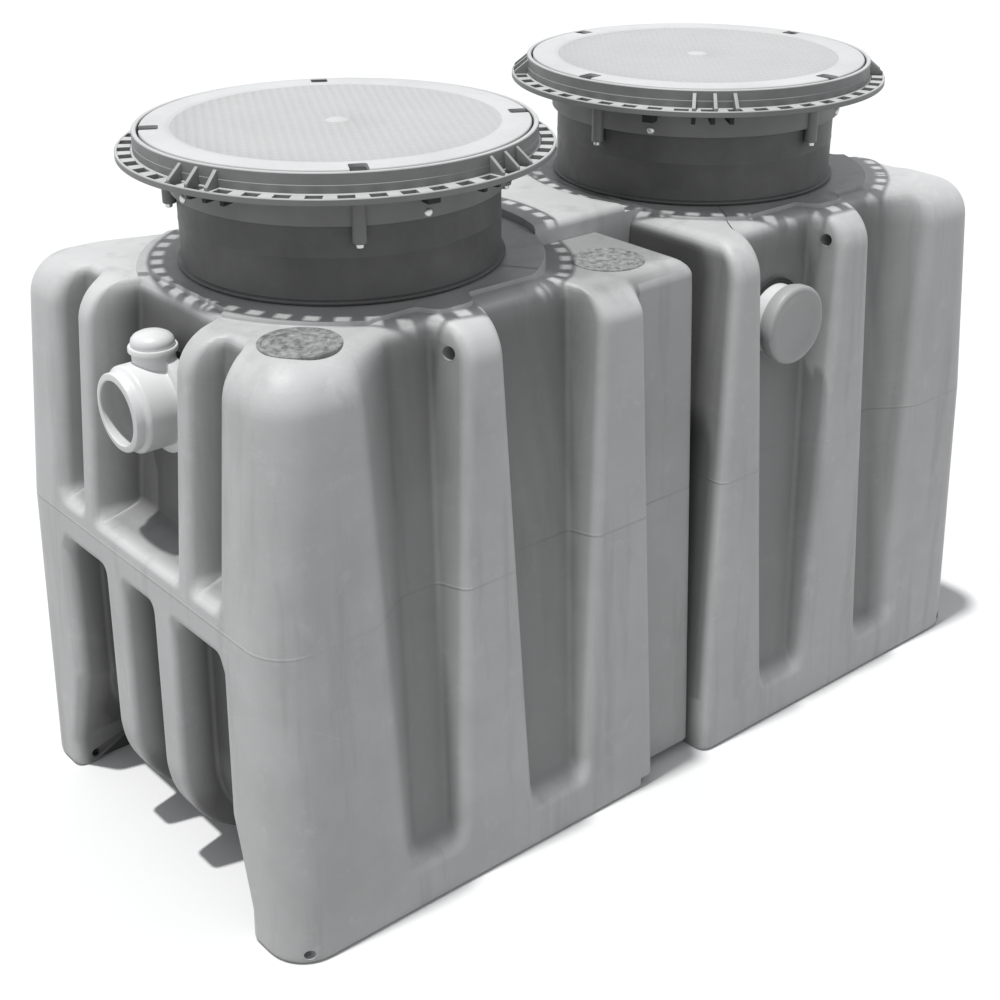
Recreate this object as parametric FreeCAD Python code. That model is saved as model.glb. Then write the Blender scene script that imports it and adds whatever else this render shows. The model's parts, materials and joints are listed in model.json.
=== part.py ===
import FreeCAD, Part
import math
import os

# Two-chamber moulded grease separator for burial. Millimetres, +Z up, ground at z = 0.
# X runs along the tank, inlet end at -X, and the origin is midway between the two access shafts.

# Tank body: half sizes of the outer faces at the ground, and how far the faces have leaned in
# at the mould's parting line and at the deck.
half_length_ground = 1085.0
parting_taper = 19.0
deck_taper = 68.6
half_width_ground = 540.0
side_taper = 44.6
deck_height = 1243.0
parting_height = 700.0
belly_height = 75.0
wall = 12.0
corner_radius = 90.0
crown_radius = 80.0
lip_radius = 36.0
fit_gap = 0.3

# Belly: how the end walls turn under between the skids.
belly_turn_height = 280.0
belly_turn_inset = 120.0

# Long sides: recesses between ribs, measured in from the outer face.
recess_depth_deck = 90.8
recess_depth_foot = 42.0
recess_foot_bottom = 95.0
recess_foot_top = 150.0
rib_flank = 25.0
tower_edge_deck = 850.7
tower_edge_ground = 805.0
tower_flank_deck = 141.2
tower_flank_ground = 60.0
inlet_rib_x = -545.0
inlet_rib_half_deck = 40.2
inlet_rib_half_ground = 97.0
inlet_inner_rib_x = -185.0
inlet_inner_rib_half_deck = 49.2
inlet_inner_rib_half_ground = 102.0
shoulder_depth = 45.0
outlet_rib_x = 550.0
outlet_rib_half_deck = 42.0
outlet_rib_half_ground = 108.0
outlet_corner_rib_deck = 227.0
outlet_corner_rib_ground = 299.0

# Waist: the groove between the two chambers, wide at the deck and nearly shut at the belly.
waist_inlet_belly = 92.0
waist_inlet_deck = 69.7
waist_outlet_belly = 97.0
waist_outlet_deck = 152.9
waist_edge = 15.0
throat_half_width = 165.0
passage_half_width = 140.0
passage_bottom = 250.0
passage_top = 950.0

# End walls, upper half: two narrow ribs beside the pipe recess.
end_tower_edge = 322.0
end_rib_y = 195.0
end_rib_half = 23.0
end_flank = 26.0
end_side_depth = 70.0
end_pipe_depth_deck = 108.3
end_pipe_depth_ledge = 100.0
end_ledge_gap = 25.0
end_ledge_rise = 43.0
end_ledge_bottom = parting_height + end_ledge_gap
end_ledge_top = end_ledge_bottom + end_ledge_rise

# End walls, lower half: two wide ribs.
low_tower_edge = 325.0
low_tower_edge_belly = 370.0
low_rib_y = 100.0
low_rib_half = 36.0
low_flank = 20.0
low_recess_depth = 75.0
low_ledge_gap = 50.0
low_ledge_rise = 60.0
low_ledge_top = parting_height - low_ledge_gap
low_ledge_bottom = low_ledge_top - low_ledge_rise

# Skids under the long walls.
skid_inner_face = 390.0
inlet_skid_end = -119.0
skid_step_height = 28.0
anchor_hole_radius = 11.0
anchor_hole_inset = 48.0
anchor_hole_height = 24.0

# Lifting tubes through the tops of the long-side ribs.
lift_tube_bore = 14.0
lift_tube_wall = 4.0
lift_tube_inset = 46.0
lift_tube_drop = 62.0
lift_tube_proud = 2.0

# Deck: wide neck rings that the shafts stand in, and the saddle between them.
shaft_x = 520.0
shaft_radius = 330.0
shaft_wall = 14.0
access_ledge = 30.0
access_radius = shaft_radius - access_ledge
neck_ring_height = 10.0
neck_ring_width = 90.0
neck_ring_edge = 4.0
saddle_height = 27.0
saddle_chamfer = 16.0

# Shafts, cover frames and covers.
shaft_height = 232.0
shaft_bead_height = 9.0
shaft_bead_proud = 8.0
skirt_thickness = 12.0
skirt_length = 67.0
flange_reach = 110.0
flange_radius = shaft_radius + flange_reach
flange_thickness = 13.0
slot_count = 46
slot_width = 31.0
slot_outer_margin = 6.0
slot_inner_margin = 4.0
upstand_shelf = 64.0
upstand_inner_radius = shaft_radius + upstand_shelf
upstand_thickness = 11.0
upstand_height = 38.0
seat_thickness = 8.0
gusset_groups = 4
gusset_pitch = 6.2
gusset_thickness = 6.0
gusset_margin = 4.0
key_to_gusset = 45.0
lock_boss_radius = 14.0
lock_boss_length = 99.0
gasket_width = 40.0
gasket_thickness = 3.0
cover_gap = 4.0
cover_radius = upstand_inner_radius - cover_gap
cover_thickness = 29.0
cover_edge = 4.0
key_hole_radius = 13.0
key_hole_depth = 16.0
key_hole_inset = 28.0
inlet_key_angle = -119.0
outlet_key_angle = -176.0

# Pipes: axes below the deck, and mouths measured out from the seals in the recess floors.
pipe_radius = 80.0
pipe_bore = 75.0
pipe_inside = 55.0
seal_thickness = 12.0
seal_proud = 2.0
seal_inside = 26.0
inlet_pipe_drop = 203.0
inlet_reach = 123.0
inlet_lip_length = 22.0
inlet_body_radius = 89.0
inlet_collar_radius = 106.0
inlet_collar_length = 30.0
branch_radius = 43.0
branch_wall = 4.0
branch_setback = 30.0
branch_rise = 120.0
branch_brim = 6.0
branch_brim_height = 12.0
plug_height = 28.0
plug_round = 22.0
side_pipe_x = 362.0
side_pipe_drop = 224.0
side_reach = 73.0
side_cap_radius = 91.0
side_cap_length = 38.0
side_cap_wall = 6.0
outlet_pipe_drop = 273.0
outlet_reach = 112.0
outlet_collar_radius = 89.0
outlet_spigot_length = 70.0


def lerp(z, z0, v0, z1, v1):
    """Straight-line value at height z between two known heights."""
    return v0 + (v1 - v0) * (z - z0) / (z1 - z0)


def clamp01(t):
    return max(0.0, min(1.0, t))


def half_length(z):
    """Outer half length: nearly upright below the parting line, leaning in above it."""
    if z <= parting_height:
        return half_length_ground - lerp(z, 0.0, 0.0, parting_height, parting_taper)
    return half_length_ground - lerp(z, parting_height, parting_taper, deck_height, deck_taper)


def half_width(z):
    return half_width_ground - lerp(z, 0.0, 0.0, deck_height, side_taper)


def edge_round(z, radius):
    """How far a face has turned inward at height z under a rounded top edge."""
    rise = z - (deck_height - radius)
    if rise <= 0.0:
        return 0.0
    return radius - math.sqrt(max(radius * radius - rise * rise, 0.0))


def belly_round(z):
    """How far the end wall has turned inward at height z above the belly."""
    drop = (belly_turn_height - z) / (belly_turn_height - belly_height)
    share = 0.9 * clamp01(drop)
    full = 1.0 - math.sqrt(1.0 - 0.9 * 0.9)
    return belly_turn_inset * (1.0 - math.sqrt(1.0 - share * share)) / full


def recess_depth(z):
    """Depth of the long-side recesses: closed at the foot, deepest at the deck."""
    opened = clamp01((z - recess_foot_bottom) / (recess_foot_top - recess_foot_bottom))
    deep = lerp(z, recess_foot_top, recess_depth_foot, deck_height, recess_depth_deck)
    return opened * deep


def waist_inlet(z):
    return lerp(z, belly_height, waist_inlet_belly, deck_height, waist_inlet_deck)


def waist_outlet(z):
    return lerp(z, belly_height, waist_outlet_belly, deck_height, waist_outlet_deck)


def corner_points(z, angles):
    """Points of the rounded corner at -X, -Y, for angles measured from +X."""
    radius = corner_radius - edge_round(z, crown_radius)
    cx = -(half_length(z) - corner_radius)
    cy = -(half_width(z) - corner_radius)
    points = []
    for angle in angles:
        a = math.radians(angle)
        points.append((cx + radius * math.cos(a), cy + radius * math.sin(a)))
    return points


def rib_points(z, x, half, left_depth, right_depth):
    """One long-side rib: foot, two front corners and foot again, from -X to +X."""
    front = -(half_width(z) - edge_round(z, crown_radius))
    lip = edge_round(z, lip_radius)
    left = -(half_width(z) - left_depth - lip)
    right = -(half_width(z) - right_depth - lip)
    return [
        (x - half - rib_flank, left),
        (x - half, front),
        (x + half, front),
        (x + half + rib_flank, right),
    ]


def tower_edge(z):
    return lerp(z, 0.0, tower_edge_ground, deck_height, tower_edge_deck)


def tower_foot(z):
    return tower_edge(z) - lerp(z, 0.0, tower_flank_ground, deck_height, tower_flank_deck)


def inlet_front(z):
    """Inlet chamber's front outline at height z, from the end corner to the waist."""
    depth = recess_depth(z)
    lip = edge_round(z, lip_radius)
    front = -(half_width(z) - edge_round(z, crown_radius))
    floor = -(half_width(z) - depth - lip)
    half = lerp(z, 0.0, inlet_rib_half_ground, deck_height, inlet_rib_half_deck)
    inner_half = lerp(z, 0.0, inlet_inner_rib_half_ground, deck_height, inlet_inner_rib_half_deck)
    plain = -(half_width(z) - shoulder_depth - lip)
    points = corner_points(z, (225.0, 247.5, 270.0))
    points.append((-tower_edge(z), front))
    points.append((-tower_foot(z), floor))
    points += rib_points(z, inlet_rib_x, half, depth, depth)
    points += rib_points(z, inlet_inner_rib_x, inner_half, depth, shoulder_depth)
    points.append((waist_inlet(z) - waist_edge, plain))
    points.append((waist_inlet(z), plain + waist_edge))
    return points


def outlet_front(z):
    """Outlet chamber's front outline at height z, from the waist to the end corner."""
    depth = recess_depth(z)
    lip = edge_round(z, lip_radius)
    front = -(half_width(z) - edge_round(z, crown_radius))
    floor = -(half_width(z) - depth - lip)
    half = lerp(z, 0.0, outlet_rib_half_ground, deck_height, outlet_rib_half_deck)
    corner_rib = lerp(z, 0.0, outlet_corner_rib_ground, deck_height, outlet_corner_rib_deck)
    points = [
        (waist_outlet(z), front + waist_edge),
        (waist_outlet(z) + waist_edge, front),
        (corner_rib, front),
        (corner_rib + rib_flank, floor),
    ]
    points += rib_points(z, outlet_rib_x, half, depth, depth)
    points.append((tower_foot(z), floor))
    points.append((tower_edge(z), front))
    for x, y in reversed(corner_points(z, (225.0, 247.5, 270.0))):
        points.append((-x, y))
    return points


def pipe_recess_depth(z):
    """Depth of the recess that the end pipes pass through, above its ledge."""
    return lerp(z, end_ledge_top, end_pipe_depth_ledge, deck_height, end_pipe_depth_deck)


def pipe_recess_face(z):
    """Distance of the pipe recess's floor from the middle of the tank."""
    return half_length(z) - pipe_recess_depth(z)


def end_upper(z):
    """Inlet end above the parting line, from the back corner to the front corner."""
    opened = clamp01((z - end_ledge_bottom) / (end_ledge_top - end_ledge_bottom))
    lip = edge_round(z, lip_radius)
    front = -(half_length(z) - edge_round(z, crown_radius))
    side = -(half_length(z) - opened * end_side_depth - lip)
    pipe = -(half_length(z) - opened * pipe_recess_depth(z) - lip)
    half = [
        (front, end_tower_edge),
        (side, end_tower_edge - end_flank),
        (side, end_rib_y + end_rib_half + end_flank),
        (front, end_rib_y + end_rib_half),
        (front, end_rib_y - end_rib_half),
        (pipe, end_rib_y - end_rib_half - end_flank),
    ]
    return end_outline(z, half)


def end_lower(z):
    """Inlet end below the parting line, from the back corner to the front corner."""
    opened = clamp01((low_ledge_top - z) / (low_ledge_top - low_ledge_bottom))
    front = -(half_length(z) - belly_round(z))
    floor = front + opened * low_recess_depth
    edge = low_tower_edge
    if z < belly_turn_height:
        edge = lerp(z, belly_height, low_tower_edge_belly, belly_turn_height, low_tower_edge)
    half = [
        (-half_length(z), edge),
        (floor, edge - low_flank),
        (floor, low_rib_y + low_rib_half + low_flank),
        (front, low_rib_y + low_rib_half),
        (front, low_rib_y - low_rib_half),
        (floor, low_rib_y - low_rib_half - low_flank),
    ]
    return end_outline(z, half)


def end_band(z):
    """Belt of the inlet end between its two storeys, with the ledges that close their recesses."""
    return end_lower(z) if z <= parting_height else end_upper(z)


def end_outline(z, half):
    """Close half an end outline with its corner points and its mirror image in Y."""
    front_corner = corner_points(z, (180.0, 202.5, 225.0))
    back_corner = [(x, -y) for x, y in reversed(front_corner)]
    mirrored = [(x, -y) for x, y in reversed(half)]
    return back_corner + half + mirrored + front_corner


def mirror_y(points):
    return [(x, -y) for x, y in reversed(points)]


def mirror_x(points):
    return [(-x, y) for x, y in reversed(points)]


def inlet_sides(z, end):
    """The four outlines of the inlet chamber, counter-clockwise: front, waist, back, end."""
    front = inlet_front(z)
    back = mirror_y(front)
    return [front, [front[-1], back[0]], back, end(z)]


def outlet_sides(z, end):
    """The four outlines of the outlet chamber, counter-clockwise: front, end, back, waist."""
    front = outlet_front(z)
    back = mirror_y(front)
    return [front, mirror_x(end(z)), back, [back[-1], front[0]]]


def joined(sides):
    """One closed outline from sides that share their end points."""
    points = []
    for side in sides:
        points += side[:-1]
    return points


def inset(points, distance):
    """Closed counter-clockwise outline moved inward by a distance, with mitred corners."""
    count = len(points)
    moved = []
    for i in range(count):
        before = points[i - 1]
        here = points[i]
        after = points[(i + 1) % count]
        n1 = inward_normal(before, here)
        n2 = inward_normal(here, after)
        scale = distance / (1.0 + n1[0] * n2[0] + n1[1] * n2[1])
        moved.append((here[0] + scale * (n1[0] + n2[0]), here[1] + scale * (n1[1] + n2[1])))
    return moved


def inward_normal(a, b):
    length = math.hypot(b[0] - a[0], b[1] - a[1])
    return (-(b[1] - a[1]) / length, (b[0] - a[0]) / length)


def wire_at(points, z):
    vectors = [FreeCAD.Vector(x, y, z) for x, y in points]
    return Part.makePolygon(vectors + vectors[:1])


def loft(sections):
    """Solid through closed outlines given as (height, points)."""
    wires = [wire_at(points, z) for z, points in sections]
    return Part.makeLoft(wires, True, True)


def wall_solid(sides_at, end, index, heights, first=0, last=None):
    """One side of a chamber, or its strip between two outline corners: the outline and
    the same outline a wall inward, lofted upward."""
    sections = []
    for z in heights:
        sides = sides_at(z, end)
        inner = inset(joined(sides), wall)
        start = sum(len(side) - 1 for side in sides[:index])
        stop = len(sides[index]) - 1 if last is None else last
        inside = [inner[(start + i) % len(inner)] for i in range(first, stop + 1)]
        sections.append((z, list(sides[index][first:stop + 1]) + inside[::-1]))
    return loft(sections)


def ribs_and_panels(sides_at, end, index, heights, corners):
    """One side of a chamber split at the corners of its recess floors: ribs, and the floors between."""
    strips = []
    for first, last in zip(corners[:-1], corners[1:]):
        strips.append(wall_solid(sides_at, end, index, heights, first, last))
    return strips[0::2], strips[1::2]


def floor_solid(sides_at):
    """Belly plate between the walls."""
    sections = []
    for z in (belly_height, belly_height + wall):
        sections.append((z, inset(joined(sides_at(z, end_lower)), wall)))
    return loft(sections)


def deck_solid(sides_at, x):
    """Roof plate on the walls, with the round access opening."""
    sections = []
    for z in (deck_height - wall, deck_height):
        sections.append((z, joined(sides_at(z, end_upper))))
    opening = Part.makeCylinder(access_radius, 4.0 * wall, FreeCAD.Vector(x, 0.0, deck_height - 2.0 * wall))
    return loft(sections).cut(opening)


def tube_along(outer, inner, start, axis, length):
    """Round tube from a start point along an axis."""
    direction = FreeCAD.Vector(*axis)
    body = Part.makeCylinder(outer, length, FreeCAD.Vector(*start), direction)
    return body.cut(Part.makeCylinder(inner, length, FreeCAD.Vector(*start), direction))


def rod_along(radius, start, axis, length):
    return Part.makeCylinder(radius, length, FreeCAD.Vector(*start), FreeCAD.Vector(*axis))


def revolved(profile, x):
    """Ring from a closed (radius, height) profile turned round the shaft axis at x."""
    vectors = [FreeCAD.Vector(x + r, 0.0, z) for r, z in profile]
    face = Part.Face(Part.makePolygon(vectors + vectors[:1]))
    return face.revolve(FreeCAD.Vector(x, 0.0, 0.0), FreeCAD.Vector(0.0, 0.0, 1.0), 360.0)


def radial_box(x, angle, r0, r1, width, z0, z1):
    """Box reaching from radius r0 to r1 at an angle round the shaft axis."""
    box = Part.makeBox(r1 - r0, width, z1 - z0, FreeCAD.Vector(r0, -0.5 * width, z0))
    box.rotate(FreeCAD.Vector(0.0, 0.0, 0.0), FreeCAD.Vector(0.0, 0.0, 1.0), angle)
    box.translate(FreeCAD.Vector(x, 0.0, 0.0))
    return box


def mirrored_y(shape):
    return shape.mirror(FreeCAD.Vector(0.0, 0.0, 0.0), FreeCAD.Vector(0.0, 1.0, 0.0))


# Heights of the outlines that the walls are lofted through.
wall_top = deck_height - wall
crown_heights = [
    deck_height - crown_radius,
    deck_height - 0.64 * crown_radius,
    deck_height - 0.32 * crown_radius,
    wall_top,
]
foot_heights = [belly_height, recess_foot_bottom, recess_foot_top]
side_heights = [recess_foot_top, parting_height] + crown_heights
waist_heights = foot_heights + side_heights[1:]
upper_heights = [end_ledge_top] + crown_heights
band_heights = [low_ledge_bottom, low_ledge_top, parting_height, end_ledge_bottom, end_ledge_top]
belly_step = (belly_turn_height - belly_height - wall) / 4.0
lower_heights = [belly_height]
lower_heights += [belly_height + wall + i * belly_step for i in range(5)]
lower_heights += [low_ledge_bottom]

nodes = {}

# Chamber walls, roofs and bellies. The ribs of a wall are one node, and the flat floors of all
# the recesses of a chamber another; the pipes pass through floors of their own.
for name, sides, corners, end_index, waist_index, x in (
    ("inlet", inlet_sides, (0, 4, 5, 8, 9, 14), 3, 1, -shaft_x),
    ("outlet", outlet_sides, (0, 3, 4, 7, 8, 12), 1, 3, shaft_x),
):
    end_corners = (0, 4, 5, 8, 9, 12, 13, 17)
    ribs, floors = ribs_and_panels(sides, end_upper, 0, side_heights, corners)
    upper_ribs, upper_floors = ribs_and_panels(sides, end_upper, end_index, upper_heights, end_corners)
    lower_ribs, lower_floors = ribs_and_panels(sides, end_lower, end_index, lower_heights, end_corners)
    nodes[name + "_front_wall"] = Part.makeCompound(ribs)
    nodes[name + "_back_wall"] = mirrored_y(nodes[name + "_front_wall"])
    nodes[name + "_end_upper_wall"] = Part.makeCompound(upper_ribs)
    nodes[name + "_end_band"] = wall_solid(sides, end_band, end_index, band_heights)
    nodes[name + "_end_lower_wall"] = Part.makeCompound(lower_ribs)
    back_floors = [mirrored_y(floor) for floor in floors]
    nodes[name + "_recess_panels"] = Part.makeCompound(floors + back_floors + upper_floors + lower_floors)
    nodes[name + "_waist_wall"] = wall_solid(sides, end_upper, waist_index, waist_heights)
    nodes[name + "_floor"] = floor_solid(sides)
    nodes[name + "_deck"] = deck_solid(sides, x)

# Throat: the duct that joins the chambers across the waist groove, open at both ends.
throat_profile = [
    FreeCAD.Vector(waist_inlet(belly_height), -throat_half_width, belly_height),
    FreeCAD.Vector(waist_outlet(belly_height), -throat_half_width, belly_height),
    FreeCAD.Vector(waist_outlet(deck_height), -throat_half_width, deck_height),
    FreeCAD.Vector(waist_inlet(deck_height), -throat_half_width, deck_height),
]
throat_face = Part.Face(Part.makePolygon(throat_profile + throat_profile[:1]))
throat = throat_face.extrude(FreeCAD.Vector(0.0, 2.0 * throat_half_width, 0.0))
throat_duct = Part.makeBox(
    2.0 * waist_outlet_deck,
    2.0 * (throat_half_width - wall),
    deck_height - belly_height - 2.0 * wall,
    FreeCAD.Vector(0.0, wall - throat_half_width, belly_height + wall),
)
nodes["throat"] = throat.cut(throat_duct)
passage = Part.makeBox(
    2.0 * waist_outlet_deck,
    2.0 * passage_half_width,
    passage_top - passage_bottom,
    FreeCAD.Vector(0.0, -passage_half_width, passage_bottom),
)
for node in ("inlet_waist_wall", "outlet_waist_wall"):
    nodes[node] = nodes[node].cut(passage)

# Saddle: the raised crest on the deck between the two neck rings.
neck_radius = shaft_radius + fit_gap + neck_ring_width
saddle = Part.makeBox(
    2.0 * (shaft_x - shaft_radius),
    2.0 * throat_half_width,
    saddle_height,
    FreeCAD.Vector(shaft_radius - shaft_x, -throat_half_width, deck_height),
)
saddle_edges = []
for edge in saddle.Edges:
    middle = edge.CenterOfMass
    if abs(middle.z - deck_height - saddle_height) < 1.0 and abs(middle.x) < 1.0:
        saddle_edges.append(edge)
saddle = saddle.makeChamfer(saddle_chamfer, saddle_edges)
for x in (-shaft_x, shaft_x):
    ring_room = rod_along(neck_radius + fit_gap, (x, 0.0, deck_height), (0.0, 0.0, 1.0), saddle_height)
    saddle = saddle.cut(ring_room)
nodes["saddle"] = saddle

# Skids, each in one piece with the foot of its long wall and with a tie-down hole across its outer end;
# the inlet skids run on to the waist as a raised step.
skid_outer_end = half_length(0.0)
skid_width = half_width(0.0) - skid_inner_face
step_width = skid_width - shoulder_depth
for name, sides, x0, x1 in (
    ("inlet", inlet_sides, -skid_outer_end, inlet_skid_end),
    ("outlet", outlet_sides, waist_outlet(belly_height), skid_outer_end),
):
    skid = Part.makeBox(x1 - x0, skid_width, belly_height, FreeCAD.Vector(x0, -half_width(0.0), 0.0))
    outer_x = x0 if name == "inlet" else x1
    rounded = []
    for edge in skid.Edges:
        middle = edge.CenterOfMass
        if abs(middle.x - outer_x) < 1.0 and abs(middle.y + half_width(0.0)) < 1.0:
            rounded.append(edge)
    skid = skid.makeFillet(corner_radius, rounded)
    if name == "inlet":
        step_length = waist_inlet(belly_height) - inlet_skid_end
        step_start = FreeCAD.Vector(inlet_skid_end, -skid_inner_face - step_width, skid_step_height)
        step = Part.makeBox(step_length, step_width, belly_height - skid_step_height, step_start)
        skid = skid.fuse(step)
    skid = skid.fuse(wall_solid(sides, end_lower, 0, foot_heights)).removeSplitter()
    hole_x = outer_x * (1.0 - anchor_hole_inset / skid_outer_end)
    hole_start = (hole_x, -half_width(0.0), anchor_hole_height)
    skid = skid.cut(rod_along(anchor_hole_radius, hole_start, (0.0, 1.0, 0.0), skid_width))
    nodes[name + "_front_skid"] = skid
    nodes[name + "_back_skid"] = mirrored_y(skid)

# Lifting tubes: one through each riser-side rib, front and back, seated in bores of the rib's flanks.
lift_z = deck_height - lift_tube_drop
lift_y = -(half_width(lift_z) - lift_tube_inset)
lift_outer = lift_tube_bore + lift_tube_wall
for name, x, half_ground, half_deck in (
    ("inlet", inlet_rib_x, inlet_rib_half_ground, inlet_rib_half_deck),
    ("outlet", outlet_rib_x, outlet_rib_half_ground, outlet_rib_half_deck),
):
    flank_share = (lift_tube_inset + lift_outer) / recess_depth(lift_z)
    rib_half = lerp(lift_z, 0.0, half_ground, deck_height, half_deck)
    reach = rib_half + rib_flank * flank_share + lift_tube_proud
    start = (x - reach, lift_y, lift_z)
    tube = tube_along(lift_outer, lift_tube_bore, start, (1.0, 0.0, 0.0), 2.0 * reach)
    bore = rod_along(lift_outer + fit_gap, start, (1.0, 0.0, 0.0), 2.0 * reach)
    nodes[name + "_lifting_tubes"] = Part.makeCompound([tube, mirrored_y(tube)])
    nodes[name + "_front_wall"] = nodes[name + "_front_wall"].cut(bore)
    nodes[name + "_back_wall"] = nodes[name + "_back_wall"].cut(mirrored_y(bore))

# Shaft sets: neck ring, shaft, cover frame, gasket and cover over each chamber.
neck_top = deck_height + neck_ring_height
shaft_top = deck_height + shaft_height
skirt_bottom = shaft_top - skirt_length
shaft_bore = shaft_radius - shaft_wall
flange_top = shaft_top + flange_thickness
seat_top = flange_top + seat_thickness
upstand_outer = upstand_inner_radius + upstand_thickness
skirt_inner = shaft_radius + fit_gap
skirt_outer = skirt_inner + skirt_thickness
throat_room = Part.makeBox(
    waist_outlet_deck - waist_inlet_deck,
    2.0 * throat_half_width,
    neck_ring_height,
    FreeCAD.Vector(waist_inlet_deck, -throat_half_width, deck_height),
)
for name, sides, x, key_angle in (
    ("inlet", inlet_sides, -shaft_x, inlet_key_angle),
    ("outlet", outlet_sides, shaft_x, outlet_key_angle),
):
    up = (0.0, 0.0, 1.0)
    ring_profile = [
        (shaft_radius + fit_gap, deck_height),
        (neck_radius, deck_height),
        (neck_radius, neck_top - neck_ring_edge),
        (neck_radius - neck_ring_edge, neck_top),
        (shaft_radius + fit_gap, neck_top),
    ]
    deck_outline = Part.Face(wire_at(joined(sides(deck_height, end_upper)), deck_height))
    deck_room = deck_outline.extrude(FreeCAD.Vector(0.0, 0.0, neck_ring_height)).fuse(throat_room)
    nodes[name + "_neck_ring"] = revolved(ring_profile, x).common(deck_room).removeSplitter()

    shaft_profile = [
        (shaft_bore, deck_height),
        (shaft_radius, deck_height),
        (shaft_radius, neck_top),
        (shaft_radius + shaft_bead_proud, neck_top),
        (shaft_radius + shaft_bead_proud, neck_top + shaft_bead_height),
        (shaft_radius, neck_top + shaft_bead_height),
        (shaft_radius, shaft_top),
        (shaft_bore, shaft_top),
    ]
    nodes[name + "_shaft"] = revolved(shaft_profile, x)

    frame_profile = [
        (shaft_bore, shaft_top),
        (skirt_inner, shaft_top),
        (skirt_inner, skirt_bottom),
        (skirt_outer, skirt_bottom),
        (skirt_outer, shaft_top),
        (flange_radius, shaft_top),
        (flange_radius, flange_top),
        (upstand_outer, flange_top),
        (upstand_outer, flange_top + upstand_height),
        (upstand_inner_radius, flange_top + upstand_height),
        (upstand_inner_radius, seat_top),
        (shaft_bore, seat_top),
    ]
    frame = revolved(frame_profile, x)
    slots = []
    slot_inner = upstand_outer + slot_inner_margin
    slot_outer = flange_radius - slot_outer_margin
    for i in range(slot_count):
        angle = key_angle + 360.0 * (i + 0.5) / slot_count
        slots.append(radial_box(x, angle, slot_inner, slot_outer, slot_width, shaft_top, flange_top))
    frame = frame.cut(Part.makeCompound(slots))
    webs = []
    for group in range(gusset_groups):
        centre = key_angle + key_to_gusset + 360.0 * group / gusset_groups
        for step in (-1, 0, 1):
            angle = centre + step * gusset_pitch
            r1 = flange_radius - gusset_margin
            z1 = flange_top + upstand_height - gusset_margin
            inner = upstand_outer - 0.5 * upstand_thickness
            web = radial_box(x, angle, inner, r1, gusset_thickness, flange_top - 0.5 * flange_thickness, z1)
            webs.append(web)
        lock = math.radians(key_angle + 360.0 * group / gusset_groups)
        lock_x = x + skirt_outer * math.cos(lock)
        lock_y = skirt_outer * math.sin(lock)
        boss_start = (lock_x, lock_y, shaft_top - lock_boss_length)
        boss = rod_along(lock_boss_radius, boss_start, up, lock_boss_length + 0.5 * flange_thickness)
        webs.append(boss.cut(rod_along(skirt_inner, (x, 0.0, 0.0), up, 2.0 * shaft_top)))
    nodes[name + "_cover_frame"] = frame.multiFuse(webs).removeSplitter()

    gasket_outer = cover_radius - cover_edge
    gasket = tube_along(gasket_outer, gasket_outer - gasket_width, (x, 0.0, seat_top), up, gasket_thickness)
    nodes[name + "_cover_gasket"] = gasket

    cover_z = seat_top + gasket_thickness
    cover = Part.makeCylinder(cover_radius, cover_thickness, FreeCAD.Vector(x, 0.0, cover_z))
    rims = [edge for edge in cover.Edges if edge.Closed]
    cover = cover.makeChamfer(cover_edge, rims)
    holes = []
    for group in range(gusset_groups):
        lock = math.radians(key_angle + 360.0 * group / gusset_groups)
        r = cover_radius - key_hole_inset
        hole_z = cover_z + cover_thickness - key_hole_depth
        hole_start = (x + r * math.cos(lock), r * math.sin(lock), hole_z)
        holes.append(rod_along(key_hole_radius, hole_start, up, key_hole_depth))
    nodes[name + "_cover"] = cover.cut(Part.makeCompound(holes))

# Inlet tee: a pipe through the end wall, its lip, body and collar outside, and a short capped branch.
seal_outer = pipe_radius + fit_gap + seal_thickness
seal_length = seal_proud + wall + seal_inside
along = (1.0, 0.0, 0.0)
inlet_z = deck_height - inlet_pipe_drop
inlet_seal_x = -pipe_recess_face(inlet_z - inlet_collar_radius) - seal_proud
inlet_seal_start = (inlet_seal_x, 0.0, inlet_z)
seal_bore = pipe_radius + fit_gap
nodes["inlet_wall_seal"] = tube_along(seal_outer, seal_bore, inlet_seal_start, along, seal_length)
inlet_hole = rod_along(seal_outer + fit_gap, inlet_seal_start, along, seal_length)
nodes["inlet_recess_panels"] = nodes["inlet_recess_panels"].cut(inlet_hole)

inlet_length = inlet_reach + seal_length + pipe_inside
mouth = (inlet_seal_x - inlet_reach, 0.0, inlet_z)
body_start = mouth[0] + inlet_lip_length
body_end = inlet_seal_x - fit_gap
collar_start = body_end - inlet_collar_length
branch_x = body_end - branch_setback
branch_foot = (branch_x, 0.0, inlet_z)
tee = rod_along(pipe_radius, mouth, along, inlet_length)
tee_body = rod_along(inlet_body_radius, (body_start, 0.0, inlet_z), along, body_end - body_start)
tee_collar = rod_along(inlet_collar_radius, (collar_start, 0.0, inlet_z), along, inlet_collar_length)
branch = rod_along(branch_radius, branch_foot, up, branch_rise)
branch = branch.cut(rod_along(seal_outer + fit_gap, (body_end, 0.0, inlet_z), along, branch_radius))
brim_start = (branch_x, 0.0, inlet_z + branch_rise - branch_brim_height)
brim = rod_along(branch_radius + branch_brim, brim_start, up, branch_brim_height)
tee = tee.multiFuse([tee_body, tee_collar, branch, brim])
tee = tee.cut(rod_along(pipe_bore, mouth, along, inlet_length))
tee = tee.cut(rod_along(branch_radius - branch_wall, branch_foot, up, branch_rise))
nodes["inlet_tee"] = tee.removeSplitter()
plug_z = inlet_z + branch_rise
plug = rod_along(branch_radius, (branch_x, 0.0, plug_z), up, plug_height)
plug_rim = [edge for edge in plug.Edges if edge.Closed and edge.CenterOfMass.z > plug_z + 1.0]
nodes["inlet_tee_plug"] = plug.makeFillet(plug_round, plug_rim)

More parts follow.
